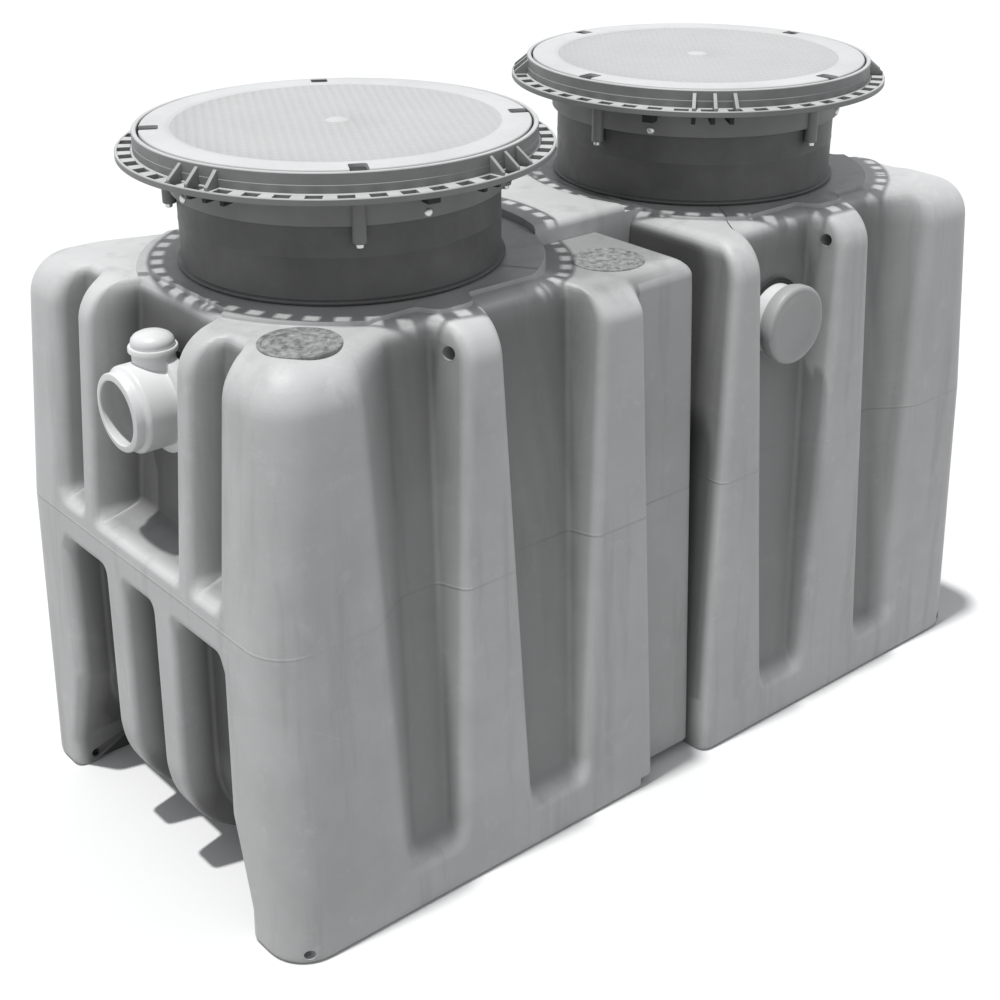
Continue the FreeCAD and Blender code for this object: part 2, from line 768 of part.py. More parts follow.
# Capped side pipe in the front recess of the outlet chamber.
inward = (0.0, 1.0, 0.0)
side_z = deck_height - side_pipe_drop
side_seal_y = -(half_width(side_z) - recess_depth(side_z)) - seal_proud
side_seal_start = (side_pipe_x, side_seal_y, side_z)
nodes["side_wall_seal"] = tube_along(seal_outer, pipe_radius + fit_gap, side_seal_start, inward, seal_length)
side_hole = rod_along(seal_outer + fit_gap, side_seal_start, inward, seal_length)
nodes["outlet_recess_panels"] = nodes["outlet_recess_panels"].cut(side_hole)
cap_start = (side_pipe_x, side_seal_y - side_reach, side_z)
cap_inside = (side_pipe_x, side_seal_y - side_reach + side_cap_wall, side_z)
cap = rod_along(side_cap_radius, cap_start, inward, side_cap_length)
cap = cap.cut(rod_along(pipe_radius + fit_gap, cap_inside, inward, side_cap_length))
nodes["side_pipe_cap"] = cap
side_length = side_reach - side_cap_wall + seal_length + pipe_inside
nodes["side_pipe"] = tube_along(pipe_radius, pipe_bore, cap_inside, inward, side_length)

# Outlet pipe through the far end wall, with a collar outside.
back_along = (-1.0, 0.0, 0.0)
outlet_z = deck_height - outlet_pipe_drop
outlet_seal_x = pipe_recess_face(outlet_z - outlet_collar_radius) + seal_proud
outlet_seal_start = (outlet_seal_x, 0.0, outlet_z)
outlet_seal = tube_along(seal_outer, pipe_radius + fit_gap, outlet_seal_start, back_along, seal_length)
nodes["outlet_wall_seal"] = outlet_seal
outlet_hole = rod_along(seal_outer + fit_gap, outlet_seal_start, back_along, seal_length)
nodes["outlet_recess_panels"] = nodes["outlet_recess_panels"].cut(outlet_hole)
outlet_length = outlet_reach + seal_length + pipe_inside
outlet_mouth = (outlet_seal_x + outlet_reach, 0.0, outlet_z)
outlet = rod_along(pipe_radius, outlet_mouth, back_along, outlet_length)
collar_x = outlet_mouth[0] - outlet_spigot_length
collar_length = outlet_reach - outlet_spigot_length - fit_gap
collar = rod_along(outlet_collar_radius, (collar_x, 0.0, outlet_z), back_along, collar_length)
outlet = outlet.fuse(collar)
outlet = outlet.cut(rod_along(pipe_bore, outlet_mouth, back_along, outlet_length))
nodes["outlet_pipe"] = outlet.removeSplitter()

os.makedirs("parts", exist_ok=True)
for node, shape in nodes.items():
    shape.exportStep("parts/" + node + ".step")
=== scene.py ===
# %% [markdown]
# A grease separator stands in a yard: a moulded plastic tank of two chambers on skids, with two round
# access shafts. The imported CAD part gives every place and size, and this lesson dresses it: each step
# says what a piece is, then makes it as a surface worked out with numpy.

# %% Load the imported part
import json
import math
import bmesh
import bpy
import numpy as np
from mathutils import Matrix, Vector

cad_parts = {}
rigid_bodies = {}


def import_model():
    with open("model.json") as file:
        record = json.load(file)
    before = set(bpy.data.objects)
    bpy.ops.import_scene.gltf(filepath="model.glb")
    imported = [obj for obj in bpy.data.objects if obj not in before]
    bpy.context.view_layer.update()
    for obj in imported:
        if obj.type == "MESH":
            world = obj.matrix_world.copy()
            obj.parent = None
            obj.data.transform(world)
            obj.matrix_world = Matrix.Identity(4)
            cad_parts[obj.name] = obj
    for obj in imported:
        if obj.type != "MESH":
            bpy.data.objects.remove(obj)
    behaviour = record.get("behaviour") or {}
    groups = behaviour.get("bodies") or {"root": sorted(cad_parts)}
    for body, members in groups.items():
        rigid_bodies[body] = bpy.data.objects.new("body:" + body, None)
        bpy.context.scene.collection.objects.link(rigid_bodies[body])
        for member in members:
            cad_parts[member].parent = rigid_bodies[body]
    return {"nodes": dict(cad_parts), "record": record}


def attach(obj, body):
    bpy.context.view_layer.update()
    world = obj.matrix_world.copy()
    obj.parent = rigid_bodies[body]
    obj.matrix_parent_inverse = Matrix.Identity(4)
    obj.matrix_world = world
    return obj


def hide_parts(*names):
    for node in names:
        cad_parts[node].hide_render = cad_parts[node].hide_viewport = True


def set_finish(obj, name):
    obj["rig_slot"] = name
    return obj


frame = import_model()
scene = bpy.context.scene
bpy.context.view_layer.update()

# %% [markdown]
# Every new piece is a grid of points. A grid can close on itself sideways, as a ring does, and rows
# that fall on one point become a pole. The helper joins neighbouring points into quads, merges what
# falls together and marks creases, so smooth shading keeps its sharp edges.

# %% Grid meshes
MM = 0.001


def grid_faces(rows, cols, closed):
    """Quads between neighbouring rows and columns; the last column meets the first when closed."""
    i = np.arange(rows - 1)[:, None]
    j = np.arange(cols if closed else cols - 1)[None, :]
    k = (j + 1) % cols
    quads = np.stack([i * cols + j, i * cols + k, (i + 1) * cols + k, (i + 1) * cols + j], -1)
    return quads.reshape(-1, 4)


def put_mesh(name, points, quads, crease=35.0):
    """Mesh object from an array of points in millimetres and an array of quads."""
    mesh = bpy.data.meshes.new(name)
    mesh.from_pydata((points.reshape(-1, 3) * MM).tolist(), [], quads.tolist())
    bm = bmesh.new()
    bm.from_mesh(mesh)
    bmesh.ops.remove_doubles(bm, verts=bm.verts, dist=2e-6)
    bmesh.ops.dissolve_degenerate(bm, edges=bm.edges, dist=1e-6)
    bmesh.ops.recalc_face_normals(bm, faces=bm.faces)
    bm.to_mesh(mesh)
    bm.free()
    mesh.shade_smooth()
    mesh.set_sharp_from_angle(angle=math.radians(crease))
    obj = bpy.data.objects.new(name, mesh)
    scene.collection.objects.link(obj)
    return obj


def grid_piece(name, points, closed=True, crease=35.0):
    """Mesh object from a grid of points, shape (rows, columns, 3)."""
    return put_mesh(name, points, grid_faces(points.shape[0], points.shape[1], closed), crease)


def joined_grids(name, grids, closed=True, crease=35.0):
    """One mesh object from several grids of the same kind, kept as separate shells."""
    points = np.concatenate([g.reshape(-1, 3) for g in grids])
    starts = np.cumsum([0] + [g.shape[0] * g.shape[1] for g in grids[:-1]])
    quads = [grid_faces(g.shape[0], g.shape[1], closed) + s for g, s in zip(grids, starts)]
    return put_mesh(name, points, np.concatenate(quads), crease)


def dress(obj, slot, *nodes):
    """Let a piece ride on the part, stand for CAD nodes and take a material slot."""
    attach(obj, "root")
    if nodes:
        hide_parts(*nodes)
    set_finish(obj, slot)
    print(obj.name, "faces:", len(obj.data.polygons), "stands for:", ", ".join(nodes) or "detail")
    return obj


# %% [markdown]
# The tank's walls lean in towards the deck and turn over it in a soft crown. They could be modelled by
# eye as a subdivided cage. Here each lean and rounding is a function of height instead, with the same
# sizes as in the CAD source, so the skin lies on the solids.

# %% Sizes of the tank
DECK = 1243.0
PARTING = 700.0
BELLY = 75.0
HALF_LENGTH = 1085.0
HALF_WIDTH = 540.0
CORNER = 90.0
CROWN = 86.0
RIB_CROWN = 80.0
LIP = 36.0
FOOT = 12.0
SHAFT_X = 520.0
RING = 420.3
RING_RISE = 8.0
BELLY_TURN = 280.0
SHAFTS = (("inlet", -SHAFT_X), ("outlet", SHAFT_X))


def ramp(z, z0, v0, z1, v1):
    """Straight line through (z0, v0) and (z1, v1)."""
    return v0 + (v1 - v0) * (z - z0) / (z1 - z0)


def ease(z, z0, z1):
    """Smooth step from 0 at z0 to 1 at z1."""
    t = np.clip((z - z0) / (z1 - z0), 0.0, 1.0)
    return t * t * (3.0 - 2.0 * t)


def half_length(z):
    """Half length: a slight lean up to the parting line, a stronger one above it."""
    low = ramp(z, 0.0, HALF_LENGTH, PARTING, HALF_LENGTH - 19.0)
    high = ramp(z, PARTING, HALF_LENGTH - 19.0, DECK, HALF_LENGTH - 68.6)
    return np.where(z <= PARTING, low, high)


def half_width(z):
    """Half width: one straight lean from the ground to the deck."""
    return ramp(z, 0.0, HALF_WIDTH, DECK, HALF_WIDTH - 44.6)


def turned_in(z, radius):
    """Quarter circle: how far a face has turned in under a rounded top edge of that radius."""
    rise = np.clip(z - (DECK - radius), 0.0, radius)
    return radius - np.sqrt(radius * radius - rise * rise)


def foot_in(z):
    """Quarter circle at the foot's bottom edge."""
    drop = np.clip(FOOT - z, 0.0, FOOT)
    return FOOT - np.sqrt(FOOT * FOOT - drop * drop)


def belly_in(z):
    """How far the end walls have turned under between the skids: part of a circle, 120 mm at the
    belly."""
    share = 0.9 * np.clip((BELLY_TURN - z) / (BELLY_TURN - BELLY), 0.0, 1.0)
    return 120.0 * (1.0 - np.sqrt(1.0 - share * share)) / (1.0 - math.sqrt(0.19))


def recess_in(z):
    """Depth of the long-side recesses: shut at the foot, 42 mm above it and 91 mm at the deck."""
    return ease(z, 88.0, 156.0) * ramp(z, 150.0, 42.0, DECK, 90.8)


print("deck half size:", half_length(np.array(DECK)), half_width(np.array(DECK)))

# %% [markdown]
# A wall's outline at one height is a polygon: towers at the ends, ribs, and recess floors between them.
# Ribs could be separate blocks joined by booleans, but a moulded wall flows from rib to floor without a
# joint. So each corner is a pair of functions of height, with a rounding length and the height that its
# column starts at. Long-side faces start on the ground, because the skids are moulded on.

# %% Faces of the long sides
RIB_FLANK = 25.0
INLET_RIB_X, INNER_RIB_X, OUTLET_RIB_X = -545.0, -185.0, 550.0
INNER_HALF_GROUND, INNER_HALF_DECK = 102.0, 49.2
SKID_STEP = 28.0
WAIST_IN_DECK, WAIST_OUT_DECK = 69.7, 152.9


def face(z, crown):
    """Front plane, pulled in at the crown and at the foot."""
    return -(half_width(z) - turned_in(z, crown) - foot_in(z))


def floor_of(z):
    """Floor of a recess between ribs."""
    return -(half_width(z) - recess_in(z) - turned_in(z, LIP) - foot_in(z))


def plain_of(z):
    """Plain strip beside the waist, 45 mm in from the ribs' faces."""
    return -(half_width(z) - 45.0 - turned_in(z, LIP))


def tower_edge(z):
    """Where the end tower's face stops, from the middle of the tank."""
    return ramp(z, 0.0, 805.0, DECK, 850.7)


def tower_foot(z):
    """Where the tower's flank meets the recess floor."""
    return tower_edge(z) - ramp(z, 0.0, 60.0, DECK, 141.2)


print("face, floor at mid height:", round(face(600.0, CROWN), 1), round(floor_of(600.0), 1))

# %% [markdown]
# Towers turn round the tank's ends in arcs, and ribs stand between them. The arc could be one rounding
# of a square corner; a few points on a circle keep its radius true while the crown shrinks it.

# %% Towers and ribs
def corner_arc(angle):
    """Point of the rounded tower corner at an angle, its radius shrinking where the crown turns in."""
    c, s = math.cos(math.radians(angle)), math.sin(math.radians(angle))
    radius = lambda z: CORNER - turned_in(z, CROWN) - foot_in(z)
    x = lambda z: -(half_length(z) - CORNER) + radius(z) * c
    y = lambda z: -(half_width(z) - CORNER) + radius(z) * s
    return (x, y, 14.0, 0.0)


def rib(x, half_ground, half_deck, right=floor_of, right_start=0.0):
    """Four corners of one rib, from its -X foot to its +X foot; its half width changes with height."""
    half = lambda z: ramp(z, 0.0, half_ground, DECK, half_deck)
    front = lambda z: face(z, RIB_CROWN)
    return [
        (lambda z: x - half(z) - RIB_FLANK, floor_of, 9.0, 0.0),
        (lambda z: x - half(z), front, 22.0, 0.0),
        (lambda z: x + half(z), front, 20.0, right_start),
        (lambda z: x + half(z) + RIB_FLANK, right, 9.0, right_start),
    ]


tower = [
    (lambda z: -tower_edge(z), lambda z: face(z, CROWN), 40.0, 0.0),
    (lambda z: -tower_foot(z), floor_of, 40.0, 0.0),
]
arc_front = [corner_arc(a) for a in (210.0, 225.0, 240.0, 255.0, 270.0)]
inlet_rib = rib(INLET_RIB_X, 97.0, 40.2)
inner_rib = rib(INNER_RIB_X, INNER_HALF_GROUND, INNER_HALF_DECK, plain_of, SKID_STEP)
outlet_rib = rib(OUTLET_RIB_X, 108.0, 42.0)
print("corners of a tower and a rib:", len(arc_front + tower), len(inlet_rib))

# %% [markdown]
# The two fronts string these corners together, with the waist groove between the chambers. They could
# be typed as one long list, but the outlet's tower is the inlet's one mirrored, so it is made from it.
# Spare corners on long straights keep the columns even.

# %% Fronts of the two chambers
def skid_end(share, start):
    """Corner on the inner rib's face, at a share of its half width, where the skid ends in a step."""
    x = lambda z: INNER_RIB_X + share * ramp(z, 0.0, INNER_HALF_GROUND, DECK, INNER_HALF_DECK)
    return (x, lambda z: face(z, RIB_CROWN), 3.0, start)


waist_in = lambda z: ramp(z, BELLY, 92.0, DECK, WAIST_IN_DECK) - turned_in(z, LIP)
waist_out = lambda z: ramp(z, BELLY, 97.0, DECK, WAIST_OUT_DECK) + turned_in(z, LIP)


def between(a, b, count):
    """Corners evenly spaced on the straight from one corner to another: (1-t) A + t B."""
    made = []
    for share in np.linspace(0.0, 1.0, count + 2)[1:-1]:
        x = lambda z, t=share: (1.0 - t) * a[0](z) + t * b[0](z)
        y = lambda z, t=share: (1.0 - t) * a[1](z) + t * b[1](z)
        made.append((x, y, 200.0, max(a[3], b[3])))
    return made


inlet_front = arc_front + tower + between(tower[1], inlet_rib[0], 2) + inlet_rib
inlet_front += between(inlet_rib[3], inner_rib[0], 3) + inner_rib[:2]
inlet_front += [skid_end(0.61, 0.0), skid_end(0.68, SKID_STEP)] + inner_rib[2:]
inlet_front += [(waist_in, plain_of, 30.0, SKID_STEP)]

corner_rib = lambda z: ramp(z, 0.0, 299.0, DECK, 227.0)
outlet_front = [
    (waist_out, lambda z: face(z, RIB_CROWN), 30.0, 0.0),
    (corner_rib, lambda z: face(z, RIB_CROWN), 26.0, 0.0),
    (lambda z: corner_rib(z) + RIB_FLANK, floor_of, 26.0, 0.0),
]
flipped = lambda v: (lambda z: -v[0](z), v[1], v[2], v[3])
far_tower = [flipped(v) for v in reversed(arc_front + tower)]
outlet_front += between(outlet_front[2], outlet_rib[0], 2) + outlet_rib
outlet_front += between(outlet_rib[3], far_tower[0], 2) + far_tower
print("corners along the fronts:", len(inlet_front), len(outlet_front))

# %% [markdown]
# The end walls have two storeys. Above the parting line two narrow ribs stand beside the pipe recess;
# below it two wide ribs run down and turn under as the belly. Two separate walls would need a seam.
# Both storeys have the same number of corners, so one set of columns slides from the lower places to
# the upper ones in the flat band between.

# %% Corners of the end walls
UPPER_Y = (322.0, 296.0, 244.0, 218.0, 172.0, 146.0)
LOWER_Y = (325.0, 305.0, 156.0, 136.0, 64.0, 44.0)
UPPER_DEEP = (0.0, 70.0, 70.0, 0.0, 0.0, 100.0)
LOWER_DEEP = (0.0, 75.0, 75.0, 0.0, 0.0, 75.0)
FOOT_REACH = (55.0, 75.0, 0.0, 0.0, 0.0, 0.0)
PIPE_RECESS = 5
PIPE_RECESS_DECK = 108.3
LEDGE_TOP = 768.0
END_LIP = 16.0
END_ROUND = (26.0, 9.0, 9.0, 13.0, 13.0, 9.0)


def end_corner(i):
    """Corner i of half an end wall: its place across, and its depth in from the leaning end face. Both
    ease from the lower storey's value to the upper one's."""
    def across(z):
        widened = FOOT_REACH[i] * np.clip((BELLY_TURN - z) / (BELLY_TURN - BELLY), 0.0, 1.0)
        share = ease(z, 655.0, 722.0)
        return (1.0 - share) * (LOWER_Y[i] + widened) + share * UPPER_Y[i]

    def along(z):
        deck_deep = PIPE_RECESS_DECK if i == PIPE_RECESS else UPPER_DEEP[i]
        upper = ramp(z, LEDGE_TOP, UPPER_DEEP[i], DECK, deck_deep) * ease(z, 722.0, 770.0)
        lower = LOWER_DEEP[i] * (1.0 - ease(z, 588.0, 654.0))
        standing = UPPER_DEEP[i] == 0.0
        edge = turned_in(z, RIB_CROWN) if standing else turned_in(z, END_LIP)
        under = foot_in(z) if i == 0 else belly_in(z)
        return -(half_length(z) - upper - lower - edge - under)

    return (along, across, END_ROUND[i], 0.0 if i == 0 else BELLY)


over = lambda v: (v[0], lambda z: -v[1](z), v[2], v[3])
half_end = [end_corner(i) for i in range(6)]
arc_end = [corner_arc(a) for a in (180.0, 195.0)]
inlet_end = [over(v) for v in reversed(arc_end)] + half_end
inlet_end += [over(v) for v in reversed(half_end)] + arc_end
inlet_back = [over(v) for v in reversed(inlet_front)]
inlet_waist = between(inlet_front[-1], inlet_back[0], 8)
inlet_corners = inlet_front + inlet_waist + inlet_back + inlet_end
outlet_end = [flipped(v) for v in reversed(inlet_end)]
outlet_back = [over(v) for v in reversed(outlet_front)]
outlet_waist = between(outlet_back[-1], outlet_front[0], 8)
outlet_corners = outlet_front + outlet_end + outlet_back + outlet_waist
print("corners round the chambers:", len(inlet_corners), len(outlet_corners))

# %% [markdown]
# A moulded tank has no sharp edge, so each corner of the outline is eased. A bevel modifier would round
# them all alike and trip over the crown, so each corner gets a quadratic curve between points a rounding
# length away. Rows lie close together where the wall bends and far apart where it is straight.

# %% Rows and eased corners
def row_heights():
    """Heights of the rows; at the crown and the lip they follow the sine of equal angles."""
    bends = ((CROWN, 12), (LIP, 6))
    crown = [DECK - r + r * np.sin(np.radians(np.linspace(0.0, 90.0, n))) for r, n in bends]
    parts = [np.linspace(0.0, FOOT, 5), np.linspace(20.0, 84.0, 7), np.linspace(88.0, 292.0, 25)]
    parts += [np.linspace(340.0, 560.0, 5), np.linspace(580.0, 662.0, 13), np.linspace(672.0, 716.0, 5)]
    parts += [np.linspace(720.0, 776.0, 11), np.linspace(800.0, 1130.0, 8)] + crown
    return np.unique(np.round(np.concatenate(parts), 3))


STEPS = 6
POINTS = STEPS + 2


def eased_corners(points, lengths):
    """Closed outlines with eased corners: (1-t)^2 A + 2t(1-t) P + t^2 C, A and C being points a
    rounding length before and after the corner P, with one more point each side for the flats."""
    before = np.roll(points, 1, 1) - points
    after = np.roll(points, -1, 1) - points
    size_b = np.linalg.norm(before, axis=-1)
    size_a = np.linalg.norm(after, axis=-1)
    cut = np.minimum(lengths[None, :], 0.42 * np.minimum(size_a, size_b))
    unit_b = before / np.maximum(size_b, 1e-9)[..., None]
    unit_a = after / np.maximum(size_a, 1e-9)[..., None]
    t = np.linspace(0.0, 1.0, STEPS)[None, None, :, None]
    a = (points + unit_b * cut[..., None])[:, :, None]
    c = (points + unit_a * cut[..., None])[:, :, None]
    p = points[:, :, None]
    curve = (1.0 - t) ** 2 * a + 2.0 * t * (1.0 - t) * p + t ** 2 * c
    ahead = (points + unit_b * (1.12 * cut)[..., None])[:, :, None]
    past = (points + unit_a * (1.12 * cut)[..., None])[:, :, None]
    out = np.concatenate([ahead, curve, past], 2)
    return out.reshape(points.shape[0], -1, points.shape[2])


print("rows:", row_heights().size, "points at each corner:", POINTS)

# %% [markdown]
# The skin of a chamber is one closed grid. Its rows run from a pole under the belly, down the skid's
# inside, round its foot, up the wall, over the crown, across the deck, over the wide low ring that the
# shaft stands in and down to a pole under the shaft. Walls and deck could be separate pieces, but on
# the real tank they are one moulding, and one grid leaves no seam between them.

# %% Skins of the chambers
SKID_INSIDE = 391.0
END_SKID_INSIDE = 384.0
DIP = 20.0


def deck_drop(x, z):
    """The inlet deck falls by 20 mm between the shaft and the waist; below the crown nothing moves."""
    inlet_side = x < 0.5 * (WAIST_IN_DECK + WAIST_OUT_DECK)
    return DIP * ease(x, -330.0, -190.0) * inlet_side * ease(z, DECK - 100.0, DECK - DIP)


def skid_rows(bottom):
    """The skid's inner rows, on the ground and at the belly. The upper one stops at the end wall's
    sill, so that the fan to the belly's pole doesn't fold over itself."""
    out = np.abs(bottom[:, 1])
    kept = np.where(out > 375.0, END_SKID_INSIDE, out)
    inside = bottom.copy()
    inside[:, 0] = np.clip(bottom[:, 0], -1070.0, 1070.0)
    inside[:, 1] = np.sign(bottom[:, 1]) * np.where(out > 389.0, SKID_INSIDE, kept)
    sill = -half_end[1][0](BELLY)
    raised = inside.copy()
    raised[:, 0] = np.clip(inside[:, 0], -sill, sill)
    raised[:, 2] = BELLY
    return np.stack([raised, inside])


def deck_rows(top, centre):
    """Rows from the crown to the shaft: along straight lines to the shaft's axis, up the low ring's
    step and in under the shaft."""
    size = np.linalg.norm(top - centre, axis=1)
    unit = (top - centre) / size[:, None]
    foot = np.minimum(RING + 2.0, size - 2.0)
    shares = np.array([0.04, 0.2, 0.45, 0.7, 0.9, 1.0])[:, None]
    flat = size * (1.0 - shares) + foot * shares
    up = foot - np.array([1.4, 2.0, 2.0, 3.2, 6.0])[:, None]
    last = np.full((2, size.size), 331.0)
    radius = np.concatenate([flat, up, 0.5 * (up[-1:] + last[:1]), last])
    rise = np.concatenate([np.zeros(6), [0.8, 2.4, 6.0, 8.8], np.full(3, RING_RISE), [0.0]])
    deck = centre + radius[..., None] * unit + rise[:, None, None] * np.array([0.0, 0.0, 1.0])
    deck[:6, :, 2] -= deck_drop(deck[:6, :, 0], deck[:6, :, 2])
    return deck


def chamber_grid(corners, shaft_x):
    """Grid of the whole skin: belly pole, skid inside, wall rows, deck rows and deck pole."""
    rows = row_heights()
    heights = np.stack([np.maximum(rows, start) for _, _, _, start in corners], 1)
    xs = np.stack([c[0](heights[:, i]) for i, c in enumerate(corners)], 1)
    ys = np.stack([c[1](heights[:, i]) for i, c in enumerate(corners)], 1)
    lengths = np.array([c[2] for c in corners])
    plan = eased_corners(np.stack([xs, ys], -1), lengths)
    z = np.repeat(heights, POINTS, 1)
    wall = np.concatenate([plan, z[..., None]], -1)
    centre = np.array([shaft_x, 0.0, DECK])
    under = np.broadcast_to([shaft_x, 0.0, BELLY], wall[:1].shape)
    pole = np.broadcast_to(centre, wall[:1].shape)
    skid = skid_rows(wall[0])
    deck = deck_rows(wall[-1], centre)
    wall[..., 2] -= deck_drop(wall[..., 0], wall[..., 2])
    return np.concatenate([under, skid, wall, deck, pole])


inlet_grid = chamber_grid(inlet_corners, -SHAFT_X)
outlet_grid = chamber_grid(outlet_corners, SHAFT_X)
inlet_skin = grid_piece("inlet_skin", inlet_grid, crease=50.0)
outlet_skin = grid_piece("outlet_skin", outlet_grid, crease=50.0)
print("skin grids:", inlet_grid.shape, outlet_grid.shape)

# %% [markdown]
# A sling goes through the tops of the ribs beside the shafts, and a tie-down through the skids' ends.
# Dark discs would do for a far view, but light should pass through. So the holes are cut with a boolean
# modifier, whose cutter is one mesh of plain rods, and the result is kept as the skin's own mesh.

# %% Lifting and tie-down holes
def tube_grid(profile, start, axis, cols):
    """Surface of revolution: a (distance along, radius) profile turned round an axis from a start."""
    axis = np.asarray(axis, float) / np.linalg.norm(axis)
    side = np.cross(axis, [0.0, 0.0, 1.0] if abs(axis[2]) < 0.9 else [1.0, 0.0, 0.0])
    side /= np.linalg.norm(side)
    third = np.cross(axis, side)
    turn = np.linspace(0.0, 2.0 * np.pi, cols, endpoint=False)[None, :, None]
    along = np.array([p[0] for p in profile])[:, None, None]
    radius = np.array([p[1] for p in profile])[:, None, None]
    outward = np.cos(turn) * side + np.sin(turn) * third
    return np.asarray(start, float) + along * axis + radius * outward


def rod(radius, start, axis, length, cols=40):
    """Closed rod whose end rows shrink to poles."""
    return tube_grid([(0.0, 0.0), (0.0, radius), (length, radius), (length, 0.0)], start, axis, cols)


def cut_rods(obj, rods):
    """Cut rods out of a piece and keep the cut mesh."""
    cutter = joined_grids("cutter", rods)
    cut = obj.modifiers.new("holes", "BOOLEAN")
    cut.operation = "DIFFERENCE"
    cut.solver = "EXACT"
    cut.object = cutter
    graph = bpy.context.evaluated_depsgraph_get()
    mesh = bpy.data.meshes.new_from_object(obj.evaluated_get(graph))
    obj.modifiers.clear()
    old = obj.data
    obj.data = mesh
    bpy.data.meshes.remove(old)
    bpy.data.objects.remove(cutter)
    obj.data.shade_smooth()
    obj.data.set_sharp_from_angle(angle=math.radians(50.0))


LIFT_Z = 1181.0
LIFT_Y = 451.62
TIE_X, TIE_Z = 1037.0, 24.0
for skin, rib_x, foot_x in ((inlet_skin, INLET_RIB_X, -TIE_X), (outlet_skin, OUTLET_RIB_X, TIE_X)):
    rods = [rod(14.0, (rib_x - 82.0, s * LIFT_Y, LIFT_Z), (1, 0, 0), 164.0) for s in (-1, 1)]
    rods += [rod(11.0, (foot_x, s * 460.0 - 95.0, TIE_Z), (0, 1, 0), 190.0) for s in (-1, 1)]
    faces_before = len(skin.data.polygons)
    cut_rods(skin, rods)
    print(skin.name, "faces before and after the holes:", faces_before, len(skin.data.polygons))

# %% [markdown]
# The tank's finish paints shade into the deep recesses, and a painted shadow onto the deck under each
# frame's flange. Painting it by hand would take an image, so the mesh carries an attribute worked out
# from its own shape, and the tank's finish reads it.

# %% Recess attribute for painted shade
def put_recess(mesh):
    """Share of painted shade, from 0 on proud faces to about 1 in deep recesses: how far a point lies
    inside the rounded rectangle of the outer faces, R - |max(q, 0)| - min(max(q), 0), q from its corner
    centres."""
    co = np.empty(len(mesh.vertices) * 3)
    mesh.vertices.foreach_get("co", co)
    x, y, z = np.abs(co.reshape(-1, 3).T / MM)
    qx = x - half_length(z) + CORNER
    qy = y - half_width(z) + CORNER
    inside = CORNER - np.hypot(np.maximum(qx, 0.0), np.maximum(qy, 0.0))
    inside = inside - np.minimum(np.maximum(qx, qy), 0.0)
    inside -= turned_in(z, CROWN) + foot_in(z)
    share = 0.62 * ease(inside, 8.0, 36.0) + 0.38 * ease(inside, 60.0, 110.0)
    # painted shade: the end walls' recesses below the parting line get darker still
    share += 0.3 * (1.0 - ease(z, 600.0, 660.0)) * (qx > qy) * ease(inside, 20.0, 60.0)
    share *= 1.0 - 0.55 * (x < 100.0) * (inside < 60.0)
    share *= 1.0 - ease(z, DECK - 30.0, DECK - 8.0)
    # painted shadow: the deck under each frame's flange, round the shaft, is darkened too
    share += 0.32 * (1.0 - ease(np.hypot(x - SHAFT_X, y), 395.0, 450.0)) * (z > DECK - 8.0)
    values = mesh.attributes.new("recess", "FLOAT", "POINT").data
    values.foreach_set("value", share.astype(np.float32))
    return share


SKIN_NODES = (
    "front_wall", "waist_wall", "back_wall", "end_upper_wall", "end_band", "end_lower_wall",
    "recess_panels", "floor", "deck", "neck_ring", "front_skid", "back_skid", "lifting_tubes",
)
for name, skin in (("inlet", inlet_skin), ("outlet", outlet_skin)):
    print(skin.name, "mean of the recess attribute:", round(float(put_recess(skin.data).mean()), 2))
    dress(skin, "tank", *[name + "_" + part for part in SKIN_NODES])

# %% [markdown]
# Between the shafts the deck rises in a saddle that stiffens the waist. A box cut by two cylinders would
# give its outline but not its soft shoulders. So a profile across the tank is carried from the ring on
# one side to the ring on the other, and a shelf at its end carries the outlet's ring over the groove.

# %% Saddle
def saddle_grid():
    """Profile of (y, height) with quarter-circle shoulders of 18 mm; each profile point runs along X
    between two arcs round the shafts, and the end rows drop to the deck."""
    a = np.radians(np.linspace(0.0, 90.0, 7))
    y = np.concatenate([[165.4], 147.4 + 18.0 * np.cos(a), np.linspace(130.0, 0.0, 6)])
    h = np.concatenate([[-75.0], 9.0 + 18.0 * np.sin(a), np.full(6, 27.0)])
    y = np.concatenate([-y, y[::-1][1:]])
    h = np.concatenate([h, h[::-1][1:]])
    left = -SHAFT_X + np.sqrt((RING + 0.3) ** 2 - y ** 2)
    right = -left
    share = np.array([0.0, 0.0, 0.03, 0.1, 0.25, 0.5, 0.75, 0.9, 0.97, 1.0, 1.0])[:, None]
    drop = np.array([0.0, 0.92, 1.0, 1.0, 1.0, 1.0, 1.0, 1.0, 1.0, 0.92, 0.0])[:, None]
    x = left * (1.0 - share) + right * share
    crest = np.stack([x, np.broadcast_to(y, x.shape), DECK + np.where(h < 0.0, h, h * drop)], -1)
    shelf = crest[-1:].copy()
    shelf[..., 2] = DECK + np.where(h < 0.0, h, np.minimum(h, RING_RISE - 0.4))
    far_edge = shelf + np.array([70.0, 0.0, 0.0])
    return np.concatenate([crest[:-1], shelf, far_edge])


dress(grid_piece("saddle_crest", saddle_grid(), closed=False), "tank", "saddle")

# %% [markdown]
# The shaft is a dark tube that carries the cover frame. A cylinder with a solidify modifier would be
# quicker, but a turned profile also gives the bead at its foot and the fine line round it. It is hollow,
# because a cover can be lifted off.

# %% Shafts
SHAFT_TOP = DECK + 232.0


def turned(profile, x, cols=160):
    """A closed (radius, height) profile turned round the upright axis at x."""
    loop = [(z, r) for r, z in profile] + [(profile[0][1], profile[0][0])]
    return tube_grid(loop, (x, 0.0, 0.0), (0.0, 0.0, 1.0), cols)


